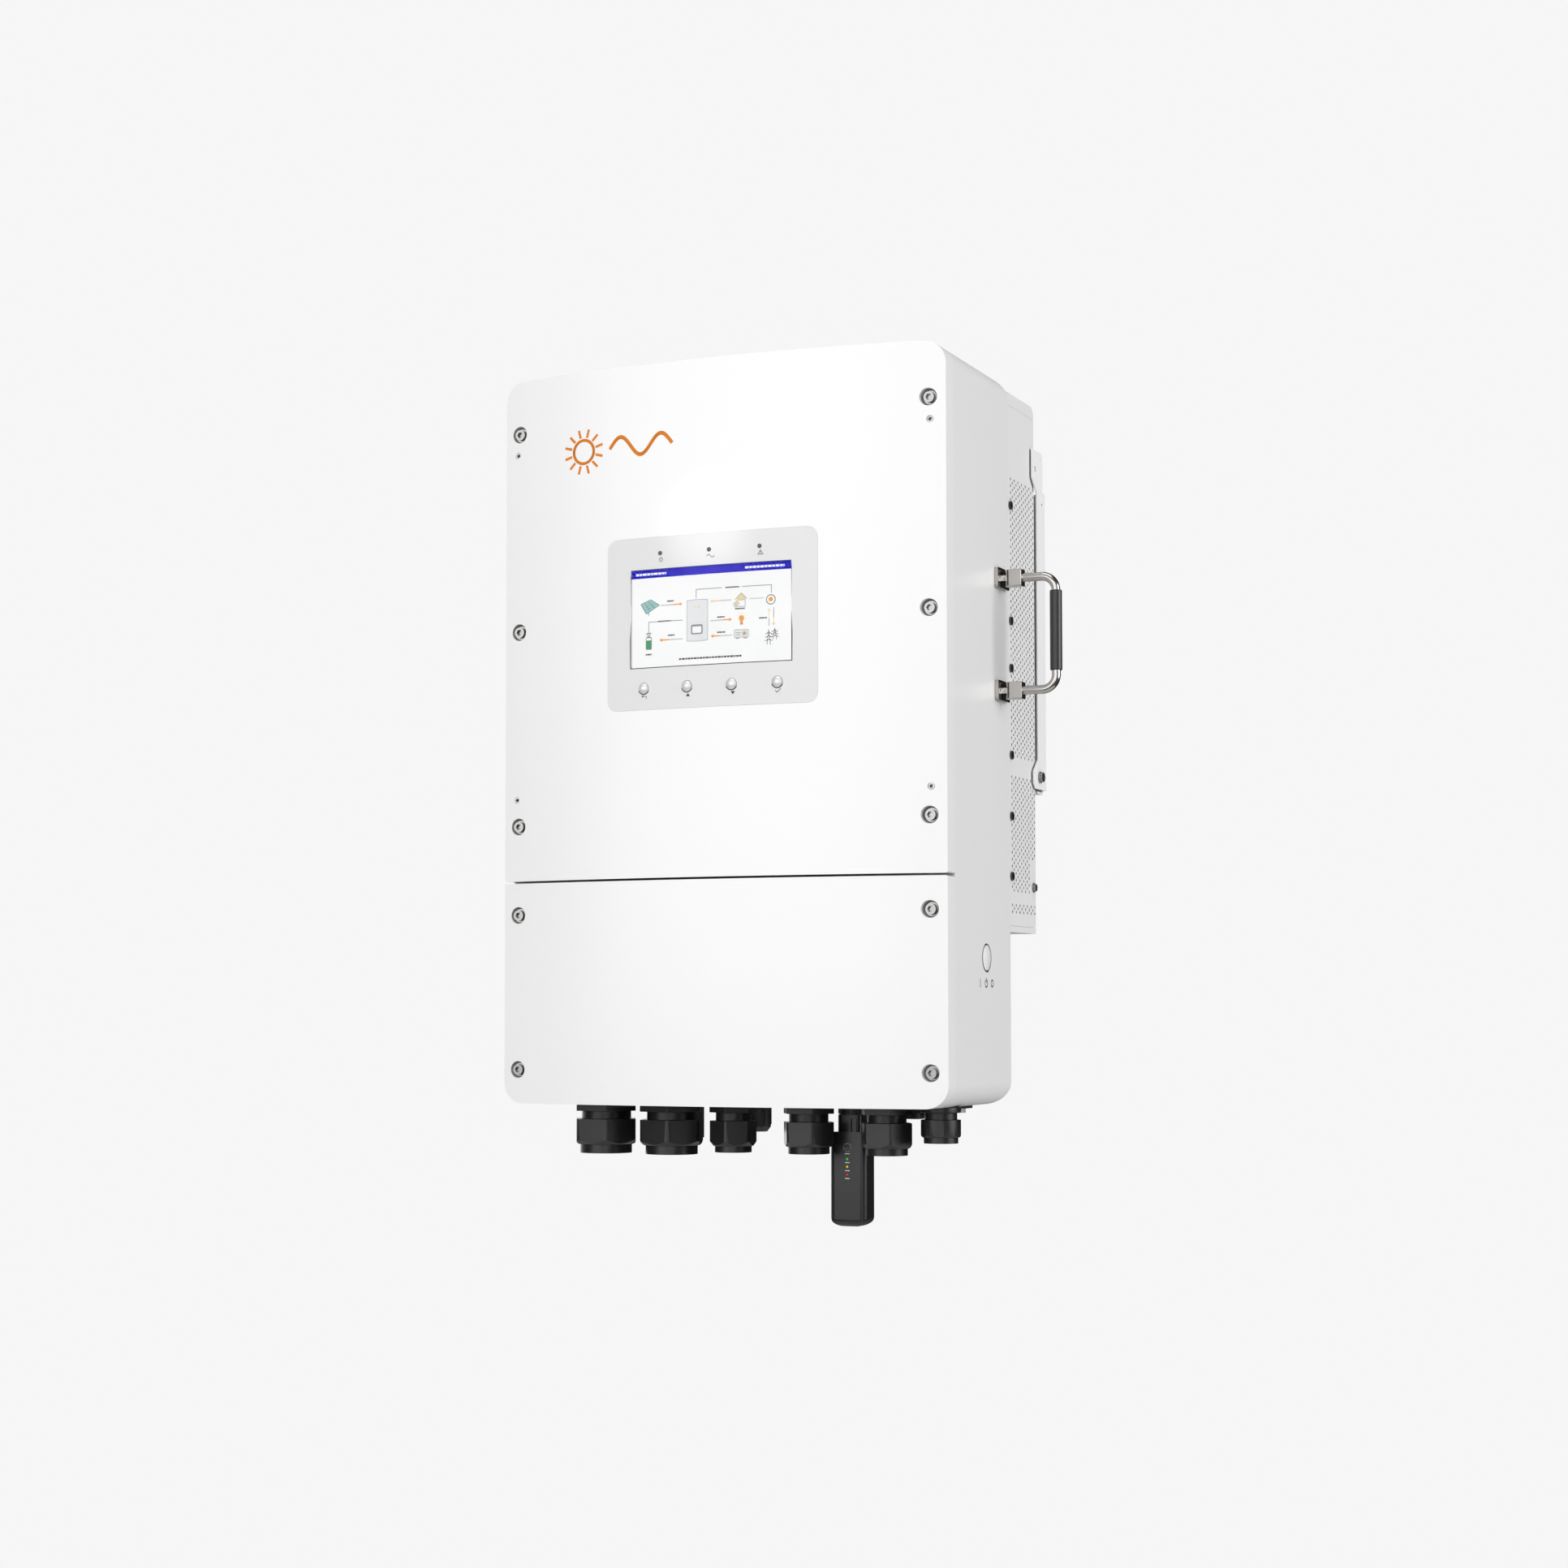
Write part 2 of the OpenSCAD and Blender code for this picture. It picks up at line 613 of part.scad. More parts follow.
module handle_base_screws() color([0.85, 0.85, 0.85]) place() mirror_x() handle_arms()
  for (u = [-1, 1]) translate([0, u * 10.4, 0]) difference() {
    union() {
      rod_x(0, 0, 206, base_x - 2.4, 5);
      translate([base_x - 2.4, 0, 0]) rotate([0, 90, 0]) cylinder(h = 2.3, d1 = 5, d2 = 9.4);
    }
    hex_x(0, 0, base_x - 1.6, base_x + 1, 3);
  }

module handle_fork() difference() {
  union() {
    rod_z(pin_x, 0, -7.65, 7.65, 12.2);
    box(pin_x, 237, -6.1, 6.1, -7.65, 7.65);
  }
  box(pin_x - 8, pin_x + 5.6, -4.9, 8, -2.85, 2.85);
  rod_z(pin_x, 0, -9, 9, 4);
}

module bar_shape() {
  half = handle_span / 2;
  handle_arms() handle_fork();
  handle_arms() rod_x(0, 0, 237, grip_x - bend_r, bar_d);
  translate([grip_x, handle_y, handle_z]) {
    rod_z(0, 0, -half + bend_r, half - bend_r, bar_d);
    for (t = [0, 1]) mirror([0, 0, t]) translate([-bend_r, 0, half - bend_r]) rotate([90, 0, 0])
      rotate_extrude(angle = 90) translate([bend_r, 0]) circle(d = bar_d);
  }
}

module grip_shape() translate([grip_x, handle_y, handle_z + 1.8]) difference() {
  cylinder(h = 72.4, d = grip_d, center = true);
  cylinder(h = 80, d = bar_d, center = true);
}

module pin_shape() handle_arms() rod_z(pin_x, 0, -7.65, 7.65, 4);

module right_handle_bar() color([0.75, 0.73, 0.7]) place() bar_shape();
module right_handle_grip() color([0.15, 0.15, 0.15]) place() grip_shape();
module right_handle_pins() color([0.8, 0.8, 0.8]) place() pin_shape();
module left_handle_bar() color([0.75, 0.73, 0.7]) place() mirror([1, 0, 0]) bar_shape();
module left_handle_grip() color([0.15, 0.15, 0.15]) place() mirror([1, 0, 0]) grip_shape();
module left_handle_pins() color([0.8, 0.8, 0.8]) place() mirror([1, 0, 0]) pin_shape();

// ---- Connections under the unit ----

function flats(g) = g[1] < 35 ? 12 : 6;
function neck_d(g) = g[1] * 0.83;
function cage_d(g) = g[1] * 0.66;
function flange_z(g) = g[1] < 35 ? -4.9 : -7.4;
function nut_z1(g) = g[1] < 35 ? -11.1 : -14.8;
function nut_z0(g) = g[5] + g[1] * 0.15;

module gland_bodies() color([0.13, 0.13, 0.13]) place() for (g = glands) difference() {
  union() {
    hex_z(g[0], gland_y, flange_z(g), 0, g[1], g[4], flats(g));
    rod_z(g[0], gland_y, nut_z1(g), flange_z(g) + 1, neck_d(g));
    rod_z(g[0], gland_y, nut_z0(g) + 4, nut_z1(g) + 1, cage_d(g));
    rod_z(g[0], gland_y, -1, 13, g[2]);
  }
  rod_z(g[0], gland_y, g[5], 14, g[3] + 2);
}

module gland_nuts() color([0.13, 0.13, 0.13]) place() for (g = glands) difference() {
  union() {
    intersection() {
      hex_z(g[0], gland_y, nut_z0(g), nut_z1(g), g[1], g[4], flats(g));
      union() {
        rod_z(g[0], gland_y, nut_z0(g) + 4, nut_z1(g), g[1] * 1.12);
        translate([g[0], gland_y, nut_z0(g)]) cylinder(h = 4, d1 = g[1] * 0.96, d2 = g[1] * 1.12);
      }
    }
    rod_z(g[0], gland_y, g[5], nut_z0(g), g[1] * 0.88);
  }
  rod_z(g[0], gland_y, g[5] + 3, nut_z1(g) + 1, cage_d(g) + 0.2);
  rod_z(g[0], gland_y, g[5] - 1, g[5] + 4, g[3] + 3);
}

module gland_seals() color([0.2, 0.2, 0.2]) place() for (g = glands) difference() {
  rod_z(g[0], gland_y, g[5] + 3, nut_z0(g) + 4, cage_d(g));
  rod_z(g[0], gland_y, g[5] + 2, nut_z0(g) + 5, g[3]);
}

module gland_locknuts() color([0.15, 0.15, 0.15]) place() for (g = glands) difference() {
  hex_z(g[0], gland_y, wall_t, wall_t + 6, g[2] + 9, 0, 6);
  rod_z(g[0], gland_y, wall_t - 1, wall_t + 7, g[2] + 0.1);
}

// Panel sockets: plug sockets and pin sockets in turn
module pv_connectors() color([0.12, 0.12, 0.12]) place() for (i = [0 : 3]) difference() {
  union() {
    hex_z(pv_x[i], rear_row_y, -4, 0, 19, 0, 6);
    rod_z(pv_x[i], rear_row_y, i % 2 == 0 ? -35 : -33, -4, i % 2 == 0 ? 18.6 : 16.4);
    rod_z(pv_x[i], rear_row_y, 0, 24, 14);
    hex_z(pv_x[i], rear_row_y, wall_t, wall_t + 5, 18, 0, 6);
    for (s = [-1, 1]) box(pv_x[i] - 2, pv_x[i] + 2, rear_row_y + s * 8.5 - 1, rear_row_y + s * 8.5 + 1, -32, -4);
  }
  rod_z(pv_x[i], rear_row_y, -36, -12, i % 2 == 0 ? 12 : 9);
}

// Round screw cap over the data port
module com_port_cap() color([0.12, 0.12, 0.12]) place() union() {
  rod_z(-11, rear_row_y, -22, 0, 25.5);
  translate([-11, rear_row_y, -26.4]) cylinder(h = 4.4, d1 = 19, d2 = 25.5);
  for (a = [0 : 30 : 330]) translate([-11, rear_row_y, -20]) rotate(a) box(11.6, 13.4, -1, 1, 0, 16);
  rod_z(-11, rear_row_y, 0, 12, 16);
}

// Plate over the second data port, with two screws
module com_port_cover() color([0.14, 0.14, 0.14]) place() union() {
  along_z(-7, 0) slab(101, 157, rear_row_y - 14, rear_row_y + 14, 4);
  along_z(-12.6, -7) slab(110, 151, rear_row_y - 10, rear_row_y + 10, 4);
  along_z(0, wall_t + 3) slab(112.2, 145.8, rear_row_y - 7.8, rear_row_y + 7.8, 2);
  for (x = [105.5, 152.5]) rod_z(x, rear_row_y, -9, -6, 6);
}

module earth_terminal() color([0.8, 0.65, 0.3]) place() union() {
  box(177, 195, rear_row_y - 9, rear_row_y + 9, -2.5, 0);
  hex_z(186, rear_row_y, -6.5, -2.5, 10, 0, 6);
  rod_z(186, rear_row_y, -2.5, 12, 6);
}

// Data logger stick: flat rounded body on a keyed connector
module stick_section(x, y, r) {
  slab(stick_x - x, stick_x + x, stick_y - y, stick_y + y, r);
}

module stick_body() color([0.16, 0.16, 0.16]) place() difference() {
  union() {
    intersection() {
      along_z(-108.5, -24) stick_section(17.7, 12.7, 6);
      along_y(stick_y - 13.5, stick_y + 13.5) outline(stick_x - 17.7, stick_x + 17.7, -108.5, -24, 12, 4);
      along_x(stick_x - 20, stick_x + 20) outline(stick_y - 12.8, stick_y + 12.8, -108.6, -23, 8, 1);
    }
    along_z(-25, -9) stick_section(11.5, 10, 5);
    box(stick_x + 1, stick_x + 3, stick_y - 11.6, stick_y - 9, -25, -12);
    box(stick_x + 6, stick_x + 8, stick_y - 11.6, stick_y - 9, -25, -12);
  }
  rod_y(stick_x, -37.8, stick_y - 13, stick_y - 8.2, 6.2);
  for (z = [-48.2, -55, -62]) rod_y(stick_x, z, stick_y - 13, stick_y - 10.2, 2.05);
}

module stick_connector() color([0.14, 0.14, 0.14]) place() union() {
  rod_z(stick_x, stick_y, -9, 0, 24);
  for (a = [0 : 30 : 330]) translate([stick_x, stick_y, 0]) rotate(a) box(11.4, 12.8, -0.9, 0.9, -8, -1);
  rod_z(stick_x, stick_y, 0, 12, 16);
}

module stick_button() color([0.2, 0.2, 0.2]) place() difference() {
  rod_y(stick_x, -37.8, stick_y - 13.2, stick_y - 8.8, 5.6);
  rod_y(stick_x, -37.8, stick_y - 13.7, stick_y - 12.9, 3.6);
}

module stick_indicators() color([0.5, 0.8, 0.5]) place()
  for (z = [-48.2, -55, -62]) rod_y(stick_x, z, stick_y - 12.9, stick_y - 10.2, 2);

// ---- Inside the enclosure ----

module power_board() color([0.1, 0.35, 0.2]) place() {
  difference() {
    box(-195, 195, 138, 140, 222, 530);
    for (x = [-180, 0, 180]) for (z = [232, 368, 520]) rod_y(x, z, 137, 141, 4.2);
  }
  // Relays and current sensors
  for (x = [30 : 24 : 174]) box(x - 8, x + 8, 112, 138, 240, 270);
  for (x = [60, 110, 160]) box(x - 11, x + 11, 118, 138, 290, 314);
}

module power_modules() color([0.2, 0.2, 0.22]) place() for (x = [-140, -80, 80, 140]) for (z = [290, 400, 470])
  box(x - 24, x + 24, 148, housing_back - back_t, z - 16, z + 16);

module dc_link_capacitors() color([0.15, 0.2, 0.35]) place() for (x = [-165 : 42 : -39]) for (z = [300, 345, 425, 470])
  rod_y(x, z, 88, 138, 35);

module boost_chokes() color([0.3, 0.3, 0.32]) place() for (x = [-150, -50, 50, 150]) union() {
  box(x - 40, x + 40, 100, housing_back - back_t, 556, 640);
  rod_y(x, 598, 92, 100, 60);
}

module control_board() color([0.1, 0.3, 0.45]) place() union() {
  box(20, 180, 84, 85.6, 340, 500);
  for (x = [30, 170]) for (z = [350, 490]) rod_y(x, z, 85.6, 138, 8);
  box(60, 90, 80, 84, 400, 430);
  box(110, 140, 80, 84, 400, 430);
  for (z = [360, 470]) box(50, 150, 76, 84, z - 5, z + 5);
}

// Power terminals for the field cables, on a rail across the lower chamber
module terminal_blocks() color([0.3, 0.35, 0.3]) place() difference() {
  union() {
    box(-140, 160, 150, housing_back - back_t, 120, 160);
    for (x = [-130, -90]) box(x - 17, x + 17, 112, 150, 118, 162);
    for (x = [-40 : 18 : 140]) box(x - 8.5, x + 8.5, 118, 150, 122, 158);
  }
  for (x = [-130, -90]) rod_y(x, 140, 108, 135, 12);
  for (x = [-40 : 18 : 140]) rod_y(x, 146, 115, 132, 8);
  for (x = [-40 : 18 : 140]) box(x - 5, x + 5, 124, 142, 120, 134);
}

main_housing();
upper_cover();
lower_cover();
upper_cover_gasket();
lower_cover_gasket();
upper_cover_screws();
lower_cover_screws();
cover_jack_screws();
display_panel();
display_window();
lcd_module();
hmi_board();
indicator_lenses();
button_back();
button_up();
button_down();
button_enter();
power_button();
power_button_body();
dc_switch_body();
dc_switch_knob();
heat_sink();
grille_right();
grille_left();
shroud_shell();
grille_screws();
shroud_rear_screws();
fan_frames();
fan_rotor_low();
fan_rotor_mid();
fan_rotor_high();
hanger_bracket();
wall_bracket();
bracket_lock_screws();
handle_bases();
handle_base_screws();
right_handle_bar();
right_handle_grip();
right_handle_pins();
left_handle_bar();
left_handle_grip();
left_handle_pins();
gland_bodies();
gland_nuts();
gland_seals();
gland_locknuts();
pv_connectors();
com_port_cap();
com_port_cover();
earth_terminal();
stick_body();
stick_connector();
stick_button();
stick_indicators();
power_board();
power_modules();
dc_link_capacitors();
boost_chokes();
control_board();
terminal_blocks();
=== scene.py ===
"""Looks of the wall-hung string inverter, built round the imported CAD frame.

Lengths are in millimetres in the unit's own frame: x across the front, y back from
the cover edges, z up from the underside. at() turns them into metres in the row frame.
"""

import math

import bmesh
import bpy
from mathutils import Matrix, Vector


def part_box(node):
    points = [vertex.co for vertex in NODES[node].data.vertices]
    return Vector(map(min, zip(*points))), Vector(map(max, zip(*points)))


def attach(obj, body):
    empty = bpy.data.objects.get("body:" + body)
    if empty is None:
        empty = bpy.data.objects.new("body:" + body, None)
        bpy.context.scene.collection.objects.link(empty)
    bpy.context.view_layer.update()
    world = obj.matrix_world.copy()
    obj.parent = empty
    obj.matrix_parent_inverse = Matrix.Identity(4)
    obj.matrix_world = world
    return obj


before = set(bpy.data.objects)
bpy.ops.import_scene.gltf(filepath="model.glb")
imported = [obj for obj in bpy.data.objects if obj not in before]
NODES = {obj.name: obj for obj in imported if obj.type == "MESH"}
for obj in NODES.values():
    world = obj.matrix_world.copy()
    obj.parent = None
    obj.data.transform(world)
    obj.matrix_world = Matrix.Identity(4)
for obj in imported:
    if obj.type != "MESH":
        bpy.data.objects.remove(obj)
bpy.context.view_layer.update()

MM = 0.001
COVER_DEPTH = 18.0  # the covers' side flanges
BULGE = 21.0  # how far the middle of the front bows out
HALF_W = 215.0
BOW_R = (HALF_W**2 + BULGE**2) / (2 * BULGE)
BOW_CENTRE = BOW_R - BULGE
# Where this frame's origin lies in the row frame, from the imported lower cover
EDGE_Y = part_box("lower_cover")[1].y / MM - COVER_DEPTH
UNDER_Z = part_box("lower_cover")[0].z / MM
SCREEN_Z = 433.85  # middle of the display window
KEY_X, KEY_Z = (-64.8, -21.6, 21.6, 64.8), 371.3  # the four keys
LAMP_X = (-48.3, 0.0, 48.3)  # the three indicators
STICK_X, STICK_FACE_Y = 91.2, 77.3  # middle of the data stick and its front face
STRIP = 7.0  # widest strip laid flat on the bowed front
ROUGH_SPREAD = 0.05  # how far roughness varies either way


def at(x, y, z):
    return Vector((x * MM, (y + EDGE_Y) * MM, (z + UNDER_Z) * MM))


def bow(x, depth=0.0):
    """y of the bowed front at x, moved in by depth."""
    return BOW_CENTRE - math.sqrt((BOW_R - depth) ** 2 - x * x)


# ---------------------------------------------------------------- materials


class Shader:
    """Builds one node material round its main shader."""

    def __init__(self, name):
        self.mat = bpy.data.materials.new(name)
        self.mat.use_nodes = True
        self.tree = self.mat.node_tree
        self.bsdf = self.tree.nodes["Principled BSDF"]
        self.coords = self.node("ShaderNodeTexCoord").outputs["Object"]

    def node(self, kind, **settings):
        n = self.tree.nodes.new(kind)
        for key, value in settings.items():
            setattr(n, key, value)
        return n

    def link(self, a, b):
        self.tree.links.new(a, b)

    def noise(self, scale, detail=3.0, stretch=None):
        source = self.coords
        if stretch:
            mapping = self.node("ShaderNodeMapping")
            mapping.inputs["Scale"].default_value = stretch
            self.link(source, mapping.inputs["Vector"])
            source = mapping.outputs["Vector"]
        n = self.node("ShaderNodeTexNoise")
        n.inputs["Scale"].default_value = scale
        n.inputs["Detail"].default_value = detail
        self.link(source, n.inputs["Vector"])
        return n.outputs["Fac"]

    def ramp(self, fac, low, high, start=0.3, end=0.7):
        r = self.node("ShaderNodeValToRGB")
        r.color_ramp.elements[0].position = start
        r.color_ramp.elements[1].position = end
        r.color_ramp.elements[0].color = low
        r.color_ramp.elements[1].color = high
        self.link(fac, r.inputs["Fac"])
        return r.outputs["Color"]

    def span(self, fac, low, high):
        m = self.node("ShaderNodeMapRange")
        m.inputs["To Min"].default_value = low
        m.inputs["To Max"].default_value = high
        self.link(fac, m.inputs["Value"])
        return m.outputs["Result"]

    def paint_shade_in_hollows(self, tone, share, reach=6.0):
        """Painted shade: the tone, darker by up to share where surfaces within reach close it in."""
        open_sky = self.node("ShaderNodeAmbientOcclusion", samples=6)
        open_sky.inputs["Distance"].default_value = reach * MM
        factor = self.ramp(open_sky.outputs["AO"], grey(1 - share), grey(1.0), 0.25, 0.92)
        mix = self.node("ShaderNodeMix", data_type="RGBA", blend_type="MULTIPLY")
        mix.inputs["Factor"].default_value = 1.0
        self.link(tone, mix.inputs["A"])
        self.link(factor, mix.inputs["B"])
        return mix.outputs["Result"]

    def bump(self, height, strength, distance):
        b = self.node("ShaderNodeBump")
        b.inputs["Strength"].default_value = strength
        b.inputs["Distance"].default_value = distance
        self.link(height, b.inputs["Height"])
        self.link(b.outputs["Normal"], self.bsdf.inputs["Normal"])

    def set(self, **values):
        for key, value in values.items():
            self.bsdf.inputs[key.replace("_", " ")].default_value = value


def grey(v, a=1.0):
    return (v, v, v, a)


def shade(colour, k):
    return tuple(min(c * k, 1.0) for c in colour[:3]) + (1.0,)


def surface(name, colour, rough, drift, grain, metallic=0.0, stretch=None, coat=0.0, painted_shade_share=0.0):
    """Colour that drifts slightly, roughness that varies, and a fine grain.

    drift is the share of the colour that varies and the scale of its noise. grain is the
    scale of the fine noise with the strength and depth of its bumps. stretch draws the
    grain out along an axis. The last keyword is painted shade: recesses and narrow slits get darker by that
    share.
    """
    share, blotch = drift
    fineness, strength, depth = grain
    s = Shader(name)
    tone = s.ramp(s.noise(blotch, 4.0), shade(colour, 1 - share), shade(colour, 1 + share))
    # Painted shade: recesses and narrow slits made darker in the colour itself
    if painted_shade_share:
        tone = s.paint_shade_in_hollows(tone, painted_shade_share)
    s.link(tone, s.bsdf.inputs["Base Color"])
    fine = s.noise(fineness, 2.0, stretch)
    s.link(s.span(fine, rough - ROUGH_SPREAD, rough + ROUGH_SPREAD), s.bsdf.inputs["Roughness"])
    s.bump(fine, strength, depth * MM)
    s.set(Metallic=metallic)
    if coat:
        s.set(Coat_Weight=coat, Coat_Roughness=0.2)
    return s.mat


def glowing(name, colour, strength):
    """A lit patch of the display or of the stick."""
    s = Shader(name)
    drift = s.noise(28.0, 2.0)
    s.link(s.ramp(drift, shade(colour, 0.98), shade(colour, 1.02)), s.bsdf.inputs["Emission Color"])
    s.link(s.ramp(drift, shade(colour, 0.04), shade(colour, 0.05)), s.bsdf.inputs["Base Color"])
    s.set(Emission_Strength=strength, Roughness=0.4, Specular_IOR_Level=0.0)
    return s.mat


# Name, colour, roughness, drift (share, scale), grain (scale, strength, depth)
# Paints given a last keyword also carry painted shade, darker in their recesses by that share
MAT = {
    "cover": surface("cover_paint", (0.87, 0.87, 0.87), 0.34, (0.006, 5.0), (700.0, 0.12, 0.03),
                     coat=0.15, painted_shade_share=0.6),
    "housing": surface("housing_paint", (0.85, 0.85, 0.85), 0.33, (0.008, 5.0), (700.0, 0.14, 0.03),
                       coat=0.2, painted_shade_share=0.4),
    "sheet": surface("sheet_paint", (0.83, 0.83, 0.83), 0.38, (0.01, 6.0), (800.0, 0.14, 0.03),
                     painted_shade_share=0.5),
    "bracket": surface("bracket_paint", (0.93, 0.93, 0.93), 0.4, (0.01, 6.0), (800.0, 0.14, 0.03),
                       painted_shade_share=0.4),
    "gasket": surface("gasket_rubber", (0.018, 0.018, 0.019), 0.75, (0.15, 40.0), (1500.0, 0.4, 0.05)),
    "overlay": surface("panel_overlay", (0.73, 0.73, 0.735), 0.42, (0.006, 8.0), (2600.0, 0.1, 0.01)),
    "stainless": surface("screw_steel", (0.3, 0.297, 0.29), 0.33, (0.05, 60.0), (1800.0, 0.2, 0.02),
                         metallic=1.0),
    "cover_screw": surface("cover_screw_steel", (0.24, 0.237, 0.232), 0.3, (0.05, 60.0),
                           (1800.0, 0.2, 0.02), metallic=1.0),
    "dark_steel": surface("dark_screw_steel", (0.1, 0.1, 0.1), 0.36, (0.1, 60.0), (1800.0, 0.2, 0.02),
                          metallic=1.0),
    "zinc": surface("zinc_plate", (0.3, 0.305, 0.31), 0.33, (0.12, 80.0), (1200.0, 0.25, 0.03),
                    metallic=1.0),
    "handle": surface("handle_steel", (0.4, 0.385, 0.365), 0.2, (0.05, 30.0), (900.0, 0.15, 0.02),
                      metallic=1.0, stretch=(1.0, 1.0, 0.12)),
    "handle_screw": surface("handle_screw_steel", (0.62, 0.62, 0.62), 0.16, (0.03, 60.0),
                            (1500.0, 0.1, 0.01), metallic=1.0),
    "grip": surface("grip_rubber", (0.013, 0.013, 0.014), 0.36, (0.12, 50.0), (2200.0, 0.2, 0.02)),
    "nylon": surface("gland_nylon", (0.0065, 0.0065, 0.007), 0.36, (0.12, 40.0), (1400.0, 0.2, 0.03)),
    "plastic": surface("black_plastic", (0.014, 0.014, 0.015), 0.5, (0.12, 40.0), (1300.0, 0.3, 0.05)),
    "stick": surface("stick_plastic", (0.008, 0.008, 0.0085), 0.33, (0.08, 30.0), (2400.0, 0.12, 0.02)),
    "heat_sink": surface("heat_sink_cast", (0.42, 0.43, 0.44), 0.48, (0.08, 25.0), (900.0, 0.5, 0.1),
                         metallic=1.0),
    "galvanised": surface("galvanised_steel", (0.5, 0.51, 0.52), 0.42, (0.18, 35.0), (500.0, 0.3, 0.04),
                          metallic=1.0),
    "key": surface("key_metal", (0.74, 0.74, 0.74), 0.42, (0.03, 60.0), (1500.0, 0.1, 0.01),
                   metallic=0.35),
    "power_key": surface("power_key_plastic", (0.88, 0.88, 0.88), 0.28, (0.01, 20.0), (1500.0, 0.1, 0.02),
                         coat=0.3),
    "red": surface("isolator_red", (0.42, 0.02, 0.015), 0.34, (0.06, 25.0), (1500.0, 0.15, 0.03)),
    "terminal_steel": surface("terminal_steel", (0.16, 0.16, 0.165), 0.35, (0.08, 40.0),
                              (1500.0, 0.2, 0.02), metallic=1.0),
    "board": surface("circuit_board", (0.012, 0.13, 0.05), 0.38, (0.25, 160.0), (1200.0, 0.2, 0.05)),
    "blue_board": surface("control_board", (0.01, 0.05, 0.17), 0.38, (0.25, 160.0), (1200.0, 0.2, 0.05)),
    "sleeve": surface("capacitor_sleeve", (0.012, 0.03, 0.11), 0.3, (0.08, 40.0), (1400.0, 0.1, 0.02)),
    "potting": surface("choke_potting", (0.06, 0.06, 0.065), 0.6, (0.15, 45.0), (700.0, 0.4, 0.1)),
    "terminal": surface("terminal_plastic", (0.22, 0.25, 0.21), 0.45, (0.06, 30.0), (1300.0, 0.2, 0.04)),
    "lens": surface("lens_smoke", (0.045, 0.046, 0.048), 0.4, (0.08, 90.0), (1500.0, 0.05, 0.01)),
    "ink": surface("printed_ink", (0.03, 0.03, 0.031), 0.6, (0.1, 300.0), (3000.0, 0.05, 0.01)),
    "emblem": surface("emblem_print", (0.74, 0.205, 0.001), 0.75, (0.03, 60.0), (2500.0, 0.05, 0.01)),
    "pale_ink": surface("pale_ink", (0.75, 0.76, 0.76), 0.5, (0.05, 300.0), (3000.0, 0.05, 0.01)),
}


def glass_material():
    s = Shader("window_glass")
    fine = s.noise(12.0, 2.0)
    s.link(s.span(fine, 0.02, 0.05), s.bsdf.inputs["Roughness"])
    s.link(s.ramp(fine, (0.99, 0.993, 0.995, 1), (0.993, 0.996, 0.998, 1)), s.bsdf.inputs["Base Color"])
    s.set(Transmission_Weight=1.0, IOR=1.15)
    return s.mat


MAT["glass"] = glass_material()

# The CAD nodes that wear each material
NODE_FINISH = {
    "cover": "upper_cover lower_cover",
    "housing": "main_housing",
    "sheet": "grille_right grille_left shroud_shell",
    "bracket": "wall_bracket",
    "gasket": "upper_cover_gasket lower_cover_gasket gland_seals",
    "overlay": "display_panel",
    "glass": "display_window",
    "plastic": "lcd_module power_button_body dc_switch_body fan_frames fan_rotor_low fan_rotor_mid "
               "fan_rotor_high pv_connectors com_port_cap com_port_cover stick_connector power_modules",
    "cover_screw": "upper_cover_screws lower_cover_screws",
    "stainless": "cover_jack_screws",
    "dark_steel": "grille_screws",
    "zinc": "shroud_rear_screws bracket_lock_screws",
    "handle": "handle_bases right_handle_bar left_handle_bar",
    "handle_screw": "handle_base_screws right_handle_pins left_handle_pins",
    "grip": "right_handle_grip left_handle_grip",
    "nylon": "gland_bodies gland_nuts gland_locknuts",
    "stick": "stick_body stick_button stick_indicators",
    "heat_sink": "heat_sink",
    "galvanised": "hanger_bracket",
    "key": "button_back button_up button_down button_enter",
    "power_key": "power_button",
    "red": "dc_switch_knob",
    "terminal_steel": "earth_terminal",
    "board": "power_board hmi_board",
    "blue_board": "control_board",
    "sleeve": "dc_link_capacitors",
    "potting": "boost_chokes",
    "terminal": "terminal_blocks",
    "lens": "indicator_lenses",
}
# Rounding put on each node's sharp edges, in millimetres
EDGE_RADIUS = {
    "upper_cover": 1.8, "lower_cover": 1.8, "main_housing": 1.2, "gland_bodies": 0.5, "gland_nuts": 0.7,
    "handle_bases": 0.5, "right_handle_bar": 0.7, "left_handle_bar": 0.7, "power_button": 1.0,
    "right_handle_grip": 0.9, "left_handle_grip": 0.9, "dc_switch_knob": 1.2, "dc_switch_body": 1.2,
    "upper_cover_screws": 0.35, "lower_cover_screws": 0.35, "cover_jack_screws": 0.2,
    "grille_screws": 0.4, "shroud_rear_screws": 0.4, "bracket_lock_screws": 0.4,
    "stick_body": 1.0, "stick_connector": 0.4, "pv_connectors": 0.5, "com_port_cap": 0.5,
    "com_port_cover": 0.8, "wall_bracket": 0.4, "hanger_bracket": 0.3, "heat_sink": 0.3,
    "shroud_shell": 0.4, "fan_frames": 0.6, "earth_terminal": 0.4, "stick_button": 0.3,
}


def paint(obj, finish):
    obj.data.materials.clear()
    obj.data.materials.append(MAT[finish])


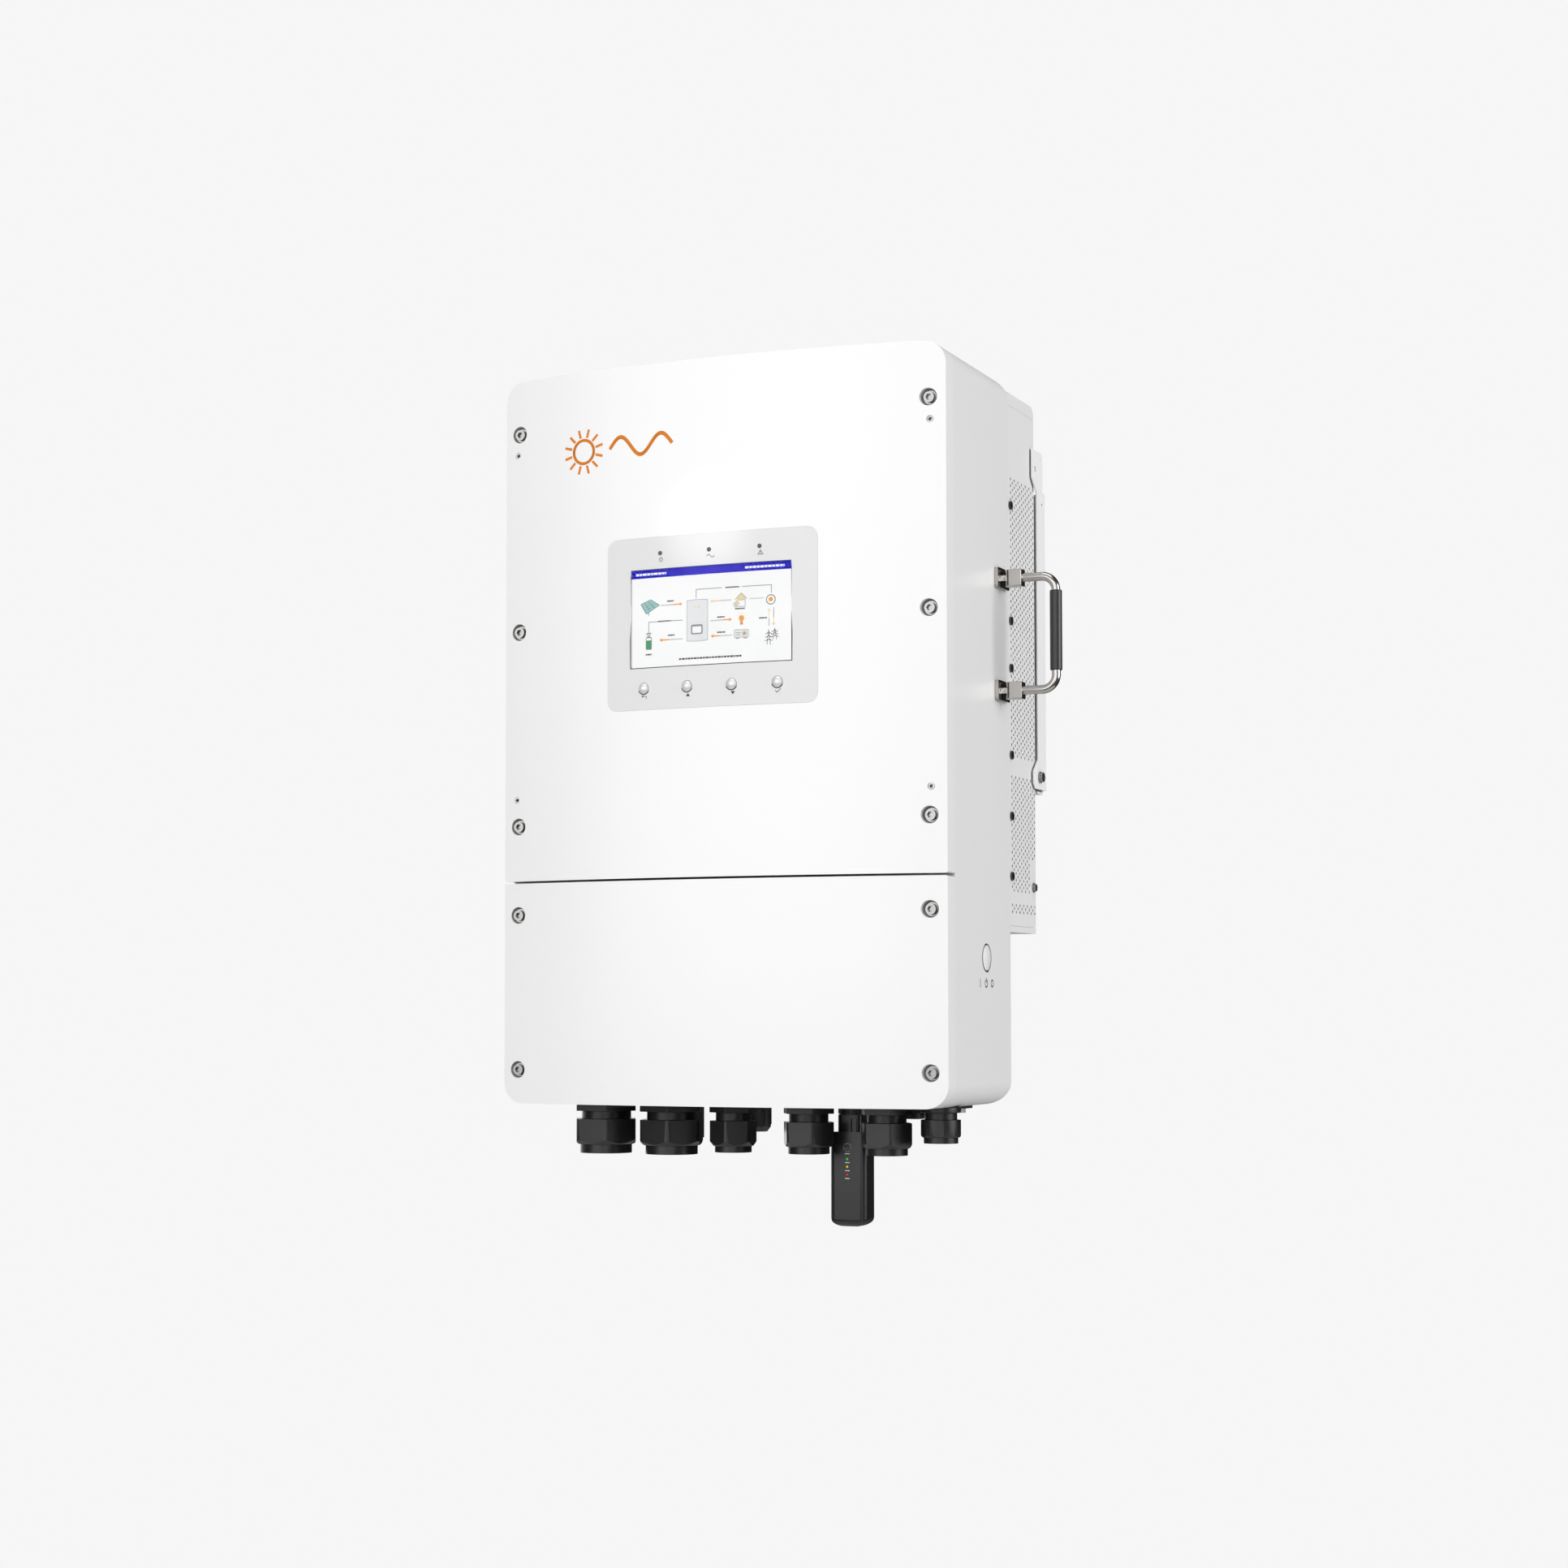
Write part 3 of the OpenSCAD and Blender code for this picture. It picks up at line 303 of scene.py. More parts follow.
def soften(obj, radius, segments=3, sharp=32.0):
    """Rounds edges that turn by more than sharp degrees, on a mesh made of separate faces."""
    for poly in obj.data.polygons:
        poly.use_smooth = True
    weld = obj.modifiers.new("weld", "WELD")
    weld.merge_threshold = 2e-6
    bevel = obj.modifiers.new("bevel", "BEVEL")
    bevel.width = radius * MM
    bevel.segments = segments
    bevel.limit_method = "ANGLE"
    bevel.angle_limit = math.radians(sharp)
    bevel.harden_normals = False
    bevel.miter_outer = "MITER_ARC"
    normals = obj.modifiers.new("normals", "WEIGHTED_NORMAL")
    normals.keep_sharp = True
    normals.weight = 60


for finish, names in NODE_FINISH.items():
    for name in names.split():
        paint(NODES[name], finish)
unpainted = set(NODES) - {n for names in NODE_FINISH.values() for n in names.split()}
assert not unpainted, unpainted
for name, radius in EDGE_RADIUS.items():
    soften(NODES[name], radius)


# ---------------------------------------------------------------- mesh helpers


def new_piece(name, bm, finish, body="unit"):
    mesh = bpy.data.meshes.new(name)
    bm.normal_update()
    bm.to_mesh(mesh)
    bm.free()
    obj = bpy.data.objects.new(name, mesh)
    bpy.context.scene.collection.objects.link(obj)
    mesh.materials.append(MAT[finish])
    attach(obj, body)
    return obj


def arc(cx, cz, r, a0, a1, n):
    """Points along an arc, angles in degrees."""
    return [(cx + r * math.cos(math.radians(a0 + (a1 - a0) * i / n)),
             cz + r * math.sin(math.radians(a0 + (a1 - a0) * i / n))) for i in range(n + 1)]


def rounded(x0, x1, z0, z1, r, n=6):
    """Points round a box with corners of radius r, n steps to a corner."""
    return (arc(x1 - r, z1 - r, r, 0, 90, n) + arc(x0 + r, z1 - r, r, 90, 180, n)
            + arc(x0 + r, z0 + r, r, 180, 270, n) + arc(x1 - r, z0 + r, r, 270, 360, n))


def box_points(x0, x1, z0, z1):
    return [(x1, z1), (x0, z1), (x0, z0), (x1, z0)]


def stroke(points, width, closed=False):
    """Quads that follow a line drawn with a pen of that width."""
    quads = []
    ends = list(zip(points, points[1:] + points[:1])) if closed else list(zip(points, points[1:]))
    for (ax, az), (bx, bz) in ends:
        dx, dz = bx - ax, bz - az
        length = math.hypot(dx, dz) or 1.0
        ux, uz = dx / length * width / 2, dz / length * width / 2
        quads.append([(ax - ux + uz, az - uz - ux), (bx + ux + uz, bz + uz - ux),
                      (bx + ux - uz, bz + uz + ux), (ax - ux - uz, az - uz + ux)])
    return quads


def on_front(u, v, out):
    return at(u, bow(u, -out), v)


def on_side(u, v, out):
    return at(HALF_W + out, u, v)


def on_stick(u, v, out):
    return at(STICK_X + u, STICK_FACE_Y - out, v)


class Print:
    """Flat shapes laid on a face: drawn in u and v, cut into strips where the face is bowed."""

    def __init__(self, name, finish, slot, out, where=on_front, thick=0.02, origin=(0.0, 0.0), body="unit"):
        self.bm = bmesh.new()
        self.name, self.finish, self.slot, self.body = name, finish, slot, body
        self.out, self.where, self.thick, self.origin = out, where, thick, origin

    def add(self, points):
        made = bmesh.new()
        made.faces.new([made.verts.new((u, 0.0, v)) for u, v in points])
        low, high = min(p[0] for p in points), max(p[0] for p in points)
        strips = math.ceil((high - low) / STRIP) if self.where is on_front else 1
        for i in range(1, strips):
            bmesh.ops.bisect_plane(made, geom=made.verts[:] + made.edges[:] + made.faces[:],
                                   plane_co=(low + (high - low) * i / strips, 0, 0), plane_no=(1, 0, 0))
        top = bmesh.ops.extrude_face_region(made, geom=made.faces[:])
        lifted = {v for v in top["geom"] if isinstance(v, bmesh.types.BMVert)}
        for v in made.verts:
            out = self.out if v in lifted else self.out - self.thick
            v.co = self.where(v.co.x + self.origin[0], v.co.z + self.origin[1], out)
        bmesh.ops.recalc_face_normals(made, faces=made.faces[:])
        copies = {v: self.bm.verts.new(v.co) for v in made.verts}
        for f in made.faces:
            self.bm.faces.new([copies[v] for v in f.verts])
        made.free()
        return self

    def lines(self, points, width, closed=False):
        for quad in stroke(points, width, closed):
            self.add(quad)
        return self

    def ring(self, cu, cv, r, width, a0=0, a1=360, n=28):
        return self.lines(arc(cu, cv, r, a0, a1, n), width)

    def greek(self, u0, u1, v, height, words=(2.6, 1.5, 3.4, 2.0), gap=0.7):
        """A row of short bars where small print would be."""
        u, i = u0, 0
        while u < u1 - 0.4:
            end = min(u + words[i % len(words)], u1)
            self.add(box_points(u, end, v - height / 2, v + height / 2))
            u, i = end + gap, i + 1
        return self

    def arrow(self, tail, tip, head, width):
        """A straight arrow with a solid head."""
        du, dv = tip[0] - tail[0], tip[1] - tail[1]
        length = math.hypot(du, dv)
        du, dv = du / length, dv / length
        neck = (tip[0] - du * head, tip[1] - dv * head)
        self.lines([tail, neck], width)
        half = head * 0.62
        return self.add([tip, (neck[0] - dv * half, neck[1] + du * half),
                         (neck[0] + dv * half, neck[1] - du * half)])

    def done(self):
        return new_piece(self.name, self.bm, self.finish, self.body)


# ---------------------------------------------------------------- display

SCREEN_HALF = (77.9, 43.85)
# Lowest display layer from the bowed front, and the step between layers
SCREEN_DEPTH, LAYER_STEP = -1.80, 0.03
# How far prints and painted shade stand out from the bowed front or the side
PANEL_INK, PANEL_SHADE, PAINT_INK = 0.18, 0.17, 0.04

SCREEN = {
    "white": (0.90, 0.90, 0.90), "mark": (0.86, 0.87, 0.95), "line": (0.26, 0.26, 0.27),
    "pale": (0.56, 0.57, 0.57), "case": (0.74, 0.75, 0.76), "ink": (0.05, 0.05, 0.055),
    "teal": (0.33, 0.56, 0.55), "dark_teal": (0.06, 0.12, 0.12), "orange": (0.78, 0.34, 0.06),
    "gold": (0.82, 0.62, 0.32), "amber": (0.62, 0.27, 0.03), "green": (0.06, 0.3, 0.13),
}
for tone, colour in SCREEN.items():
    MAT["lcd_" + tone] = glowing("lcd_" + tone, colour, 1.0)


def header_material():
    """Deep blue at the ends and lighter in the middle."""
    deep, light = (0.001, 0.0005, 0.42, 1), (0.03, 0.02, 0.52, 1)
    s = Shader("lcd_header")
    split_axes = s.node("ShaderNodeSeparateXYZ")
    s.link(s.coords, split_axes.inputs["Vector"])
    across = s.node("ShaderNodeMapRange")
    across.inputs["From Min"].default_value = -SCREEN_HALF[0] * MM
    across.inputs["From Max"].default_value = SCREEN_HALF[0] * MM
    s.link(split_axes.outputs["X"], across.inputs["Value"])
    blue = s.ramp(across.outputs["Result"], deep, deep, 0.12, 0.85)
    blue.node.color_ramp.elements.new(0.5).color = light
    s.link(blue, s.bsdf.inputs["Emission Color"])
    s.set(Base_Color=(0.004, 0.003, 0.05, 1), Emission_Strength=1.0, Roughness=0.4, Specular_IOR_Level=0.0)
    return s.mat


MAT["lcd_header"] = header_material()


def lcd(name, tone, layer):
    """A display layer just behind the glass; higher layers sit nearer the glass."""
    out = SCREEN_DEPTH + LAYER_STEP * layer
    return Print("lcd_" + name, "lcd_" + tone, "lcd", out, origin=(0.0, SCREEN_Z))


def draw_page():
    """The lit page with its header, and painted shade as a dark line round the window."""
    w, h = SCREEN_HALF
    inset, header_low = 0.2, 36.5
    lcd("page", "white", 0).add(rounded(-w + inset, w - inset, -h + inset, h - inset, 1.0)).done()
    lcd("header", "header", 1).add(box_points(-w + inset, w - inset, header_low, h - inset)).done()
    marks = lcd("header_marks", "mark", 2).greek(-73.5, -43, 40.0, 2.0, (3.0, 2.2, 4.0))
    marks.greek(34, 71, 40.0, 2.0, (3.4, 2.4)).done()
    # The painted shade line is thickest low down on both sides
    edge_shade = Print("window_edge_shade", "ink", "display_overlay", PANEL_SHADE, origin=(0.0, SCREEN_Z))
    for s in (-1, 1):
        edge_shade.add([(s * w, 39), (s * (w + 0.5), 39), (s * (w + 0.15), 12), (s * w, 12)])
        edge_shade.add([(s * w, -1), (s * (w + 0.15), -1), (s * (w + 1.1), -19), (s * (w + 0.9), -h), (s * w, -h)])
    edge_shade.add(box_points(-w - 0.9, w + 0.9, -h - 0.75, -h))
    edge_shade.add(box_points(-w - 0.3, w + 0.3, h, h + 0.3)).done()


def draw_flows():
    """Wires, arrows and rows of figures that join the icons."""
    wires = lcd("wires", "line", 1)
    for points in ([(-13.2, 16), (-13.2, 23.3), (11.4, 23.3)], [(31.5, 23.3), (58.7, 23.3), (58.7, 16.6)],
                   [(-60.5, -11.5), (-60.5, -3.1), (-53, -3.1)], [(-36.5, -3.1), (-26.8, -3.3)]):
        wires.lines(points, 0.65)
    wires.lines([(56.6, -12.6), (56.6, 1)], 0.6).lines([(60.9, 2.9), (60.9, -11)], 0.6).done()
    shafts = lcd("shafts", "pale", 1)
    for tail, tip, width in (((-47.5, 11.2), (-33, 11.3), 1.2), ((20.4, 12.0), (9, 12.0), 1.1),
                             ((38.8, 12.0), (51.2, 12.2), 0.8), ((1.4, -5.4), (14, -5.3), 1.1),
                             ((21.1, -19.2), (8, -19.2), 1.1), ((-26.8, -19.9), (-40, -19.9), 1.1)):
        shafts.lines([tail, tip], width)
    shafts.done()
    arrows = lcd("arrows", "orange", 2).lines([(-36, 11.3), (-30, 11.3)], 1.0)
    arrows.arrow((-33, 11.3), (-26.8, 11.3), 2.6, 1.0).arrow((13, -5.3), (21.5, -5.3), 2.8, 1.1)
    arrows.arrow((9, -19.2), (0.9, -19.2), 2.8, 1.1).arrow((-41, -19.9), (-49.8, -19.9), 2.8, 1.2)
    arrows.done()
    pale = lcd("pale_arrows", "gold", 2).arrow((10, 12.0), (0.6, 12.0), 2.4, 1.1)
    pale.arrow((56.6, -6), (56.6, 2.9), 2.4, 0.6).arrow((60.9, -6), (60.9, -13.2), 2.8, 0.6).done()
    words = lcd("words", "ink", 2)
    for u0, u1, v in ((-42, -35.2, 14.6), (15.3, 28.5, 23.3), (24.5, 33.8, 3.9), (7.5, 14.6, -2.6),
                      (7.3, 14.9, -16.1), (47.2, 54.6, -5.5), (-63.6, -57.4, -32.2), (-51.5, -38, -3.0),
                      (-41.2, -34.4, -16.0)):
        words.greek(u0, u1, v, 1.3, (1.7, 2.3, 1.2), 0.35)
    words.greek(-30, 30.5, -37.9, 1.6, (2.1, 3.0, 1.6, 2.6), 0.6).done()


def draw_inverter():
    """The small inverter in the middle of the page."""
    cu, cv = -12.15, -4.25
    top = arc(cu, -66.5, 81.0, 82.6, 97.4, 10)
    outline = top + [(u, 2 * cv - v) for u, v in reversed(top)]
    lcd("unit_edge", "line", 1).add(outline).done()
    inner = [(cu + (u - cu) * 0.965, cv + (v - cv) * 0.98) for u, v in outline]
    lcd("unit_case", "case", 2).add(inner).done()
    lcd("unit_panel", "line", 3).add(rounded(-18.2, -6.8, -16.6, -7.9, 1.6)).done()
    lcd("unit_display", "white", 4).add(rounded(-16.9, -8.1, -15.4, -9.6, 0.8)).done()
    dots = lcd("unit_dots", "gold", 3).add(rounded(-15.2, -13.6, 7.0, 8.4, 0.6))
    dots.add(rounded(-11.6, -10.0, 7.2, 8.6, 0.6)).done()


def draw_array():
    """A tilted solar array of three by four cells."""
    corners = [(-68.5, 13.4), (-58.5, 16.9), (-49.8, 11.5), (-63.2, 4.7)]
    lcd("array_frame", "dark_teal", 1).add([(-69, 13.5), (-58.5, 17.3), (-49.3, 11.5), (-63.2, 4.1)]) \
        .lines([(-61, 6), (-60.5, 3.2)], 0.7).done()
    cells = lcd("array_cells", "teal", 2)
    for i in range(3):
        for j in range(4):
            quad = []
            for a, b in ((0.06, 0.07), (0.94, 0.07), (0.94, 0.93), (0.06, 0.93)):
                a, b = (i + a) / 3, (j + b) / 4
                quad.append(tuple((corners[0][k] * (1 - a) + corners[1][k] * a) * (1 - b)
                                  + (corners[3][k] * (1 - a) + corners[2][k] * a) * b for k in (0, 1)))
            cells.add(quad)
    cells.done()


def draw_icons():
    """House, meter, lamp, generator, pylons and battery."""
    walls = lcd("house_wall", "pale", 1).add(box_points(26.5, 34.6, 5.2, 12.4))
    walls.add(box_points(23.4, 29.5, 5.2, 8.0)).done()
    lcd("house_front", "white", 2).add(box_points(27.4, 33.6, 6.2, 11.0)).done()
    roofs = lcd("roofs", "gold", 3).add([(24.8, 12.2), (30.4, 17.6), (35.4, 12.6)])
    roofs.add([(22.6, 7.6), (26.2, 10.9), (30, 8.0)]).done()
    lcd("roof_edges", "line", 4).lines([(24.6, 12.1), (30.4, 17.7), (35.5, 12.6)], 0.5) \
        .lines([(22.5, 7.6), (26.2, 11.0)], 0.4).done()

    lcd("meter_case", "line", 1).ring(58.2, 10.4, 4.1, 0.9).done()
    lcd("meter_dot", "orange", 2).add(arc(58.2, 10.6, 2.1, 0, 330, 11)).done()

    cu, cv = 30.6, -4.6
    lcd("lamp", "orange", 1).add(arc(cu, cv, 2.5, -50, 230, 14) + [(29.6, -9.5), (31.6, -9.5)]).done()
    rays = lcd("lamp_rays", "gold", 1)
    for angle in (-10, 30, 60, 90, 120, 150, 190):
        c, k = math.cos(math.radians(angle)), math.sin(math.radians(angle))
        rays.lines([(cu + 3.3 * c, cv + 3.3 * k), (cu + 4.9 * c, cv + 4.9 * k)], 0.45)
    rays.done()
    lcd("lamp_foot", "line", 2).lines([(29.5, -9.9), (31.7, -9.9)], 0.9).done()

    lcd("generator", "pale", 1).add(rounded(23.2, 37.6, -22.0, -14.4, 1.5)).done()
    lcd("generator_face", "case", 2).add(rounded(24.2, 36.6, -21.0, -15.4, 1.0)).done()
    lcd("generator_dot", "amber", 3).add(arc(33.3, -18.2, 1.2, 0, 330, 11)).done()
    slots = lcd("generator_slots", "line", 3)
    slots.lines([(25.4, -17.4), (29.4, -17.4)], 0.5).lines([(25.4, -19.2), (29.4, -19.2)], 0.5)
    slots.ring(33.3, -18.2, 1.9, 0.4).lines([(25.5, -22.4), (28, -22.4)], 0.8)
    slots.lines([(33, -22.4), (35.5, -22.4)], 0.8).done()

    pylons = lcd("pylons", "ink", 1)
    for cu, top, drop in ((56.2, -16.2, 12.8), (61.9, -15.2, 9.4)):
        pylons.lines([(cu - 1.6, top - drop), (cu, top), (cu + 1.6, top - drop)], 0.5)
        for k in (0.18, 0.42, 0.66):
            w, v = 2.4 + 1.4 * k, top - drop * k
            pylons.lines([(cu - w, v - 1.3), (cu, v), (cu + w, v - 1.3)], 0.55)
    pylons.done()

    case = lcd("battery_case", "line", 1).add(rounded(-63.6, -57.4, -27.9, -16.6, 1.2))
    case.add(box_points(-61.9, -59.1, -16.6, -15.4)).done()
    lcd("battery_empty", "white", 2).add(rounded(-62.9, -58.1, -27.2, -17.4, 0.8)).done()
    lcd("battery_charge", "green", 3).add(box_points(-62.9, -58.1, -27.2, -19.4)).done()
    signal = lcd("battery_signal", "ink", 1).ring(-60.5, -16.4, 3.6, 0.7, 50, 130, 8)
    signal.ring(-60.5, -16.4, 2.2, 0.6, 50, 130, 6).done()


draw_page()
draw_flows()
draw_inverter()
draw_array()
draw_icons()


# ---------------------------------------------------------------- symbols


def wave(u0, u1, v, height, turns, n=24):
    """Points along a sine curve between u0 and u1."""
    return [(u0 + (u1 - u0) * i / n, v + height * math.sin(2 * math.pi * turns * i / n))
            for i in range(n + 1)]


def crescent(outer, inner):
    """Quads between two arcs with as many points, the inner one drawn the other way."""
    n = len(outer) - 1
    return [[outer[i], outer[i + 1], inner[n - 1 - i], inner[n - i]] for i in range(n)]


def label_panel():
    """Supply, output and warning signs above the display, and a sign below each key."""
    label = Print("panel_symbols", "ink", "display_overlay", PANEL_INK)
    z = SCREEN_Z + 52.2
    u = LAMP_X[0] + 0.8
    label.ring(u, z, 1.65, 0.5, 125, 415, 18).lines([(u, z + 0.3), (u, z + 2.1)], 0.5)
    label.lines(wave(-2.2, 5.2, z, 1.3, 1), 0.5)
    u = LAMP_X[2] + 0.9
    label.lines([(u - 2.4, z - 1.6), (u, z + 2.1), (u + 2.4, z - 1.6)], 0.5, closed=True)
    label.lines([(u, z - 0.2), (u, z + 1.0)], 0.45).lines([(u, z - 1.0), (u, z - 0.65)], 0.5)
    z = SCREEN_Z - 70.4
    u = KEY_X[0] + 0.3
    label.lines([(u + 2.4, z - 1.3), (u + 2.4, z + 0.8), (u - 1.2, z + 0.8)], 0.55)
    label.add([(u - 2.6, z + 0.8), (u - 0.8, z + 2.0), (u - 0.8, z - 0.4)])
    u = KEY_X[1] + 1.1
    label.add([(u - 2.1, z - 1.2), (u, z + 1.7), (u + 2.1, z - 1.2)])
    u = KEY_X[2] + 1.4
    label.add([(u - 2.1, z + 1.4), (u + 2.1, z + 1.4), (u, z - 1.5)])
    u = KEY_X[3] + 0.5
    label.lines([(u - 2.3, z + 0.1), (u - 0.6, z - 1.4), (u + 2.6, z + 1.7)], 0.6).done()


def paint_key_shade():
    """Painted shade: dark crescents where the lower half of each key meets the panel."""
    key_shade = Print("key_painted_shade", "ink", "display_overlay", PANEL_SHADE)
    for x in KEY_X:
        outer = arc(x, KEY_Z, 5.75, 200, 335, 20)
        inner = arc(x + 0.25, KEY_Z + 0.75, 5.2, 335, 200, 20)
        for quad in crescent(outer, inner):
            key_shade.add(quad)
    key_shade.done()


def draw_emblem():
    """A plain sun beside an alternating-current wave."""
    cu, cv = -128.3, 590.5
    disc_r, ray_from, ray_to, rays = 10.6, 14.2, 19.6, 12
    sun = Print("emblem_sun", "emblem", "cover_paint", PAINT_INK)
    sun.ring(cu, cv, disc_r, 2.6, 0, 360, 40)
    for i in range(rays):
        angle = math.radians(360 / rays * i + 15)
        c, k = math.cos(angle), math.sin(angle)
        sun.lines([(cu + ray_from * c, cv + ray_from * k), (cu + ray_to * c, cv + ray_to * k)], 2.3)
    sun.done()
    curve = wave(-99.5, -37.5, 591.5, 8.6, 1.5, 54)
    Print("emblem_wave", "emblem", "cover_paint", PAINT_INK).lines(curve, 3.3).done()


def label_side():
    """On, power and off signs below the push button, and a painted shadow as a dark line on the button's
    near side.
    """
    sign_z = 108.4
    signs = Print("switch_symbols", "ink", "housing_paint", PAINT_INK, on_side)
    signs.ring(100.0, sign_z, 3.3, 1.1, 125, 415, 20).lines([(100.0, 109.2), (100.0, 113.0)], 1.1)
    signs.lines([(84.0, 105.2), (84.0, 111.8)], 1.2).ring(116.0, sign_z, 3.0, 1.1).done()
    # Painted shadow: a dark crescent where the button's near side lies in shade
    gap = Print("power_key_painted_shade", "ink", "housing_paint", PAINT_INK, on_side)
    outer, inner = arc(102.0, 131.0, 12.9, 95, 290, 26), arc(103.1, 131.4, 12.3, 290, 95, 26)
    for quad in crescent(outer, inner):
        gap.add(quad)
    gap.done()


def label_stick():
    """Ring round the stick's button, three lights and the marks beside them."""
    mark_out, light_out = 0.05, 0.26
    ring = Print("stick_ring", "pale_ink", "stick_plastic", mark_out, on_stick)
    ring.ring(0.0, -37.8, 3.5, 0.5, 0, 360, 32).done()
    marks = Print("stick_marks", "pale_ink", "stick_plastic", mark_out, on_stick)
    for v in (-43.5, -51.4, -58.6, -65.5):
        marks.lines([(-1.9, v), (1.9, v)], 0.6)
    marks.done()
    for tone, v, colour in (("green", -48.2, (0.04, 0.7, 0.12)), ("yellow", -55.0, (0.8, 0.7, 0.05)),
                            ("red", -62.0, (0.85, 0.05, 0.03))):
        MAT["lamp_" + tone] = glowing("lamp_" + tone, colour, 0.75)
        light = Print("stick_lamp_" + tone, "lamp_" + tone, "stick_lights", light_out, on_stick, 0.04)
        light.add(arc(0, v, 1.05, 0, 345, 23)).done()


label_panel()
paint_key_shade()
draw_emblem()
label_side()
label_stick()


# ---------------------------------------------------------------- camera

CAMERA_AT = at(1030.7, -2277.6, 82.2)
YAW, PITCH = math.radians(24.11), math.radians(2.93)
FOCAL_PX, CENTRE_X, CENTRE_Y, FRAME_PX = 3479.4, 900.0, 1070.0, 1932.0
SENSOR = 36.0


def into_scene(name, data, where):
    obj = bpy.data.objects.new(name, data)
    bpy.context.scene.collection.objects.link(obj)
    obj.location = where
    return obj


def aim(obj, direction):
    obj.rotation_mode = "QUATERNION"
    obj.rotation_quaternion = direction.to_track_quat("-Z", "Y")


def add_camera():
    camera = into_scene("camera", bpy.data.cameras.new("camera"), CAMERA_AT)
    camera.data.sensor_width = SENSOR
    camera.data.lens = SENSOR * FOCAL_PX / FRAME_PX
    camera.data.shift_x = (FRAME_PX / 2 - CENTRE_X) / FRAME_PX
    camera.data.shift_y = (CENTRE_Y - FRAME_PX / 2) / FRAME_PX
    camera.data.clip_start, camera.data.clip_end = 0.05, 100.0
    level = math.cos(PITCH)
    aim(camera, Vector((-math.sin(YAW) * level, math.cos(YAW) * level, math.sin(PITCH))))
    bpy.context.scene.camera = camera
    bpy.context.scene.view_settings.view_transform = "Standard"
    bpy.context.scene.view_settings.look = "None"


# ---------------------------------------------------------------- light and floor

AMBIENT = {"all": 0.02, "up": 0.01, "right": 0.01, "front": 0.075}
BACKDROP = grey(0.922)  # what the camera sees behind the unit
# Place, size in metres, power in watts, and the point it shines at
LIGHTS = {
    "front_left": ((-1000, -2750, 800), (2.3, 1.9), 47.4, (0, 0, 400)),
    "front_right": ((1100, -2700, 900), (1.6, 2.4), 27.8, (0, 0, 400)),
    "right": ((3000, 200, 900), (2.0, 2.0), 69.0, (215, 80, 400)),
    "top": ((0, -600, 3000), (2.4, 2.4), 41.0, (0, 60, 500)),
    "back": ((-2000, 2400, 300), (2.4, 2.4), 44.0, (0, 250, 350)),
    "left": ((-2900, 1000, 900), (2.0, 2.0), 24.0, (-215, 150, 400)),
}
GLOW_FROM, GLOW_AT, GLOW_POWER, GLOW_ANGLE = (-120, -1700, 900), (-2, 0, 508), 22.0, 3.4
FLOOR_Z, FLOOR_R = -760, 1350


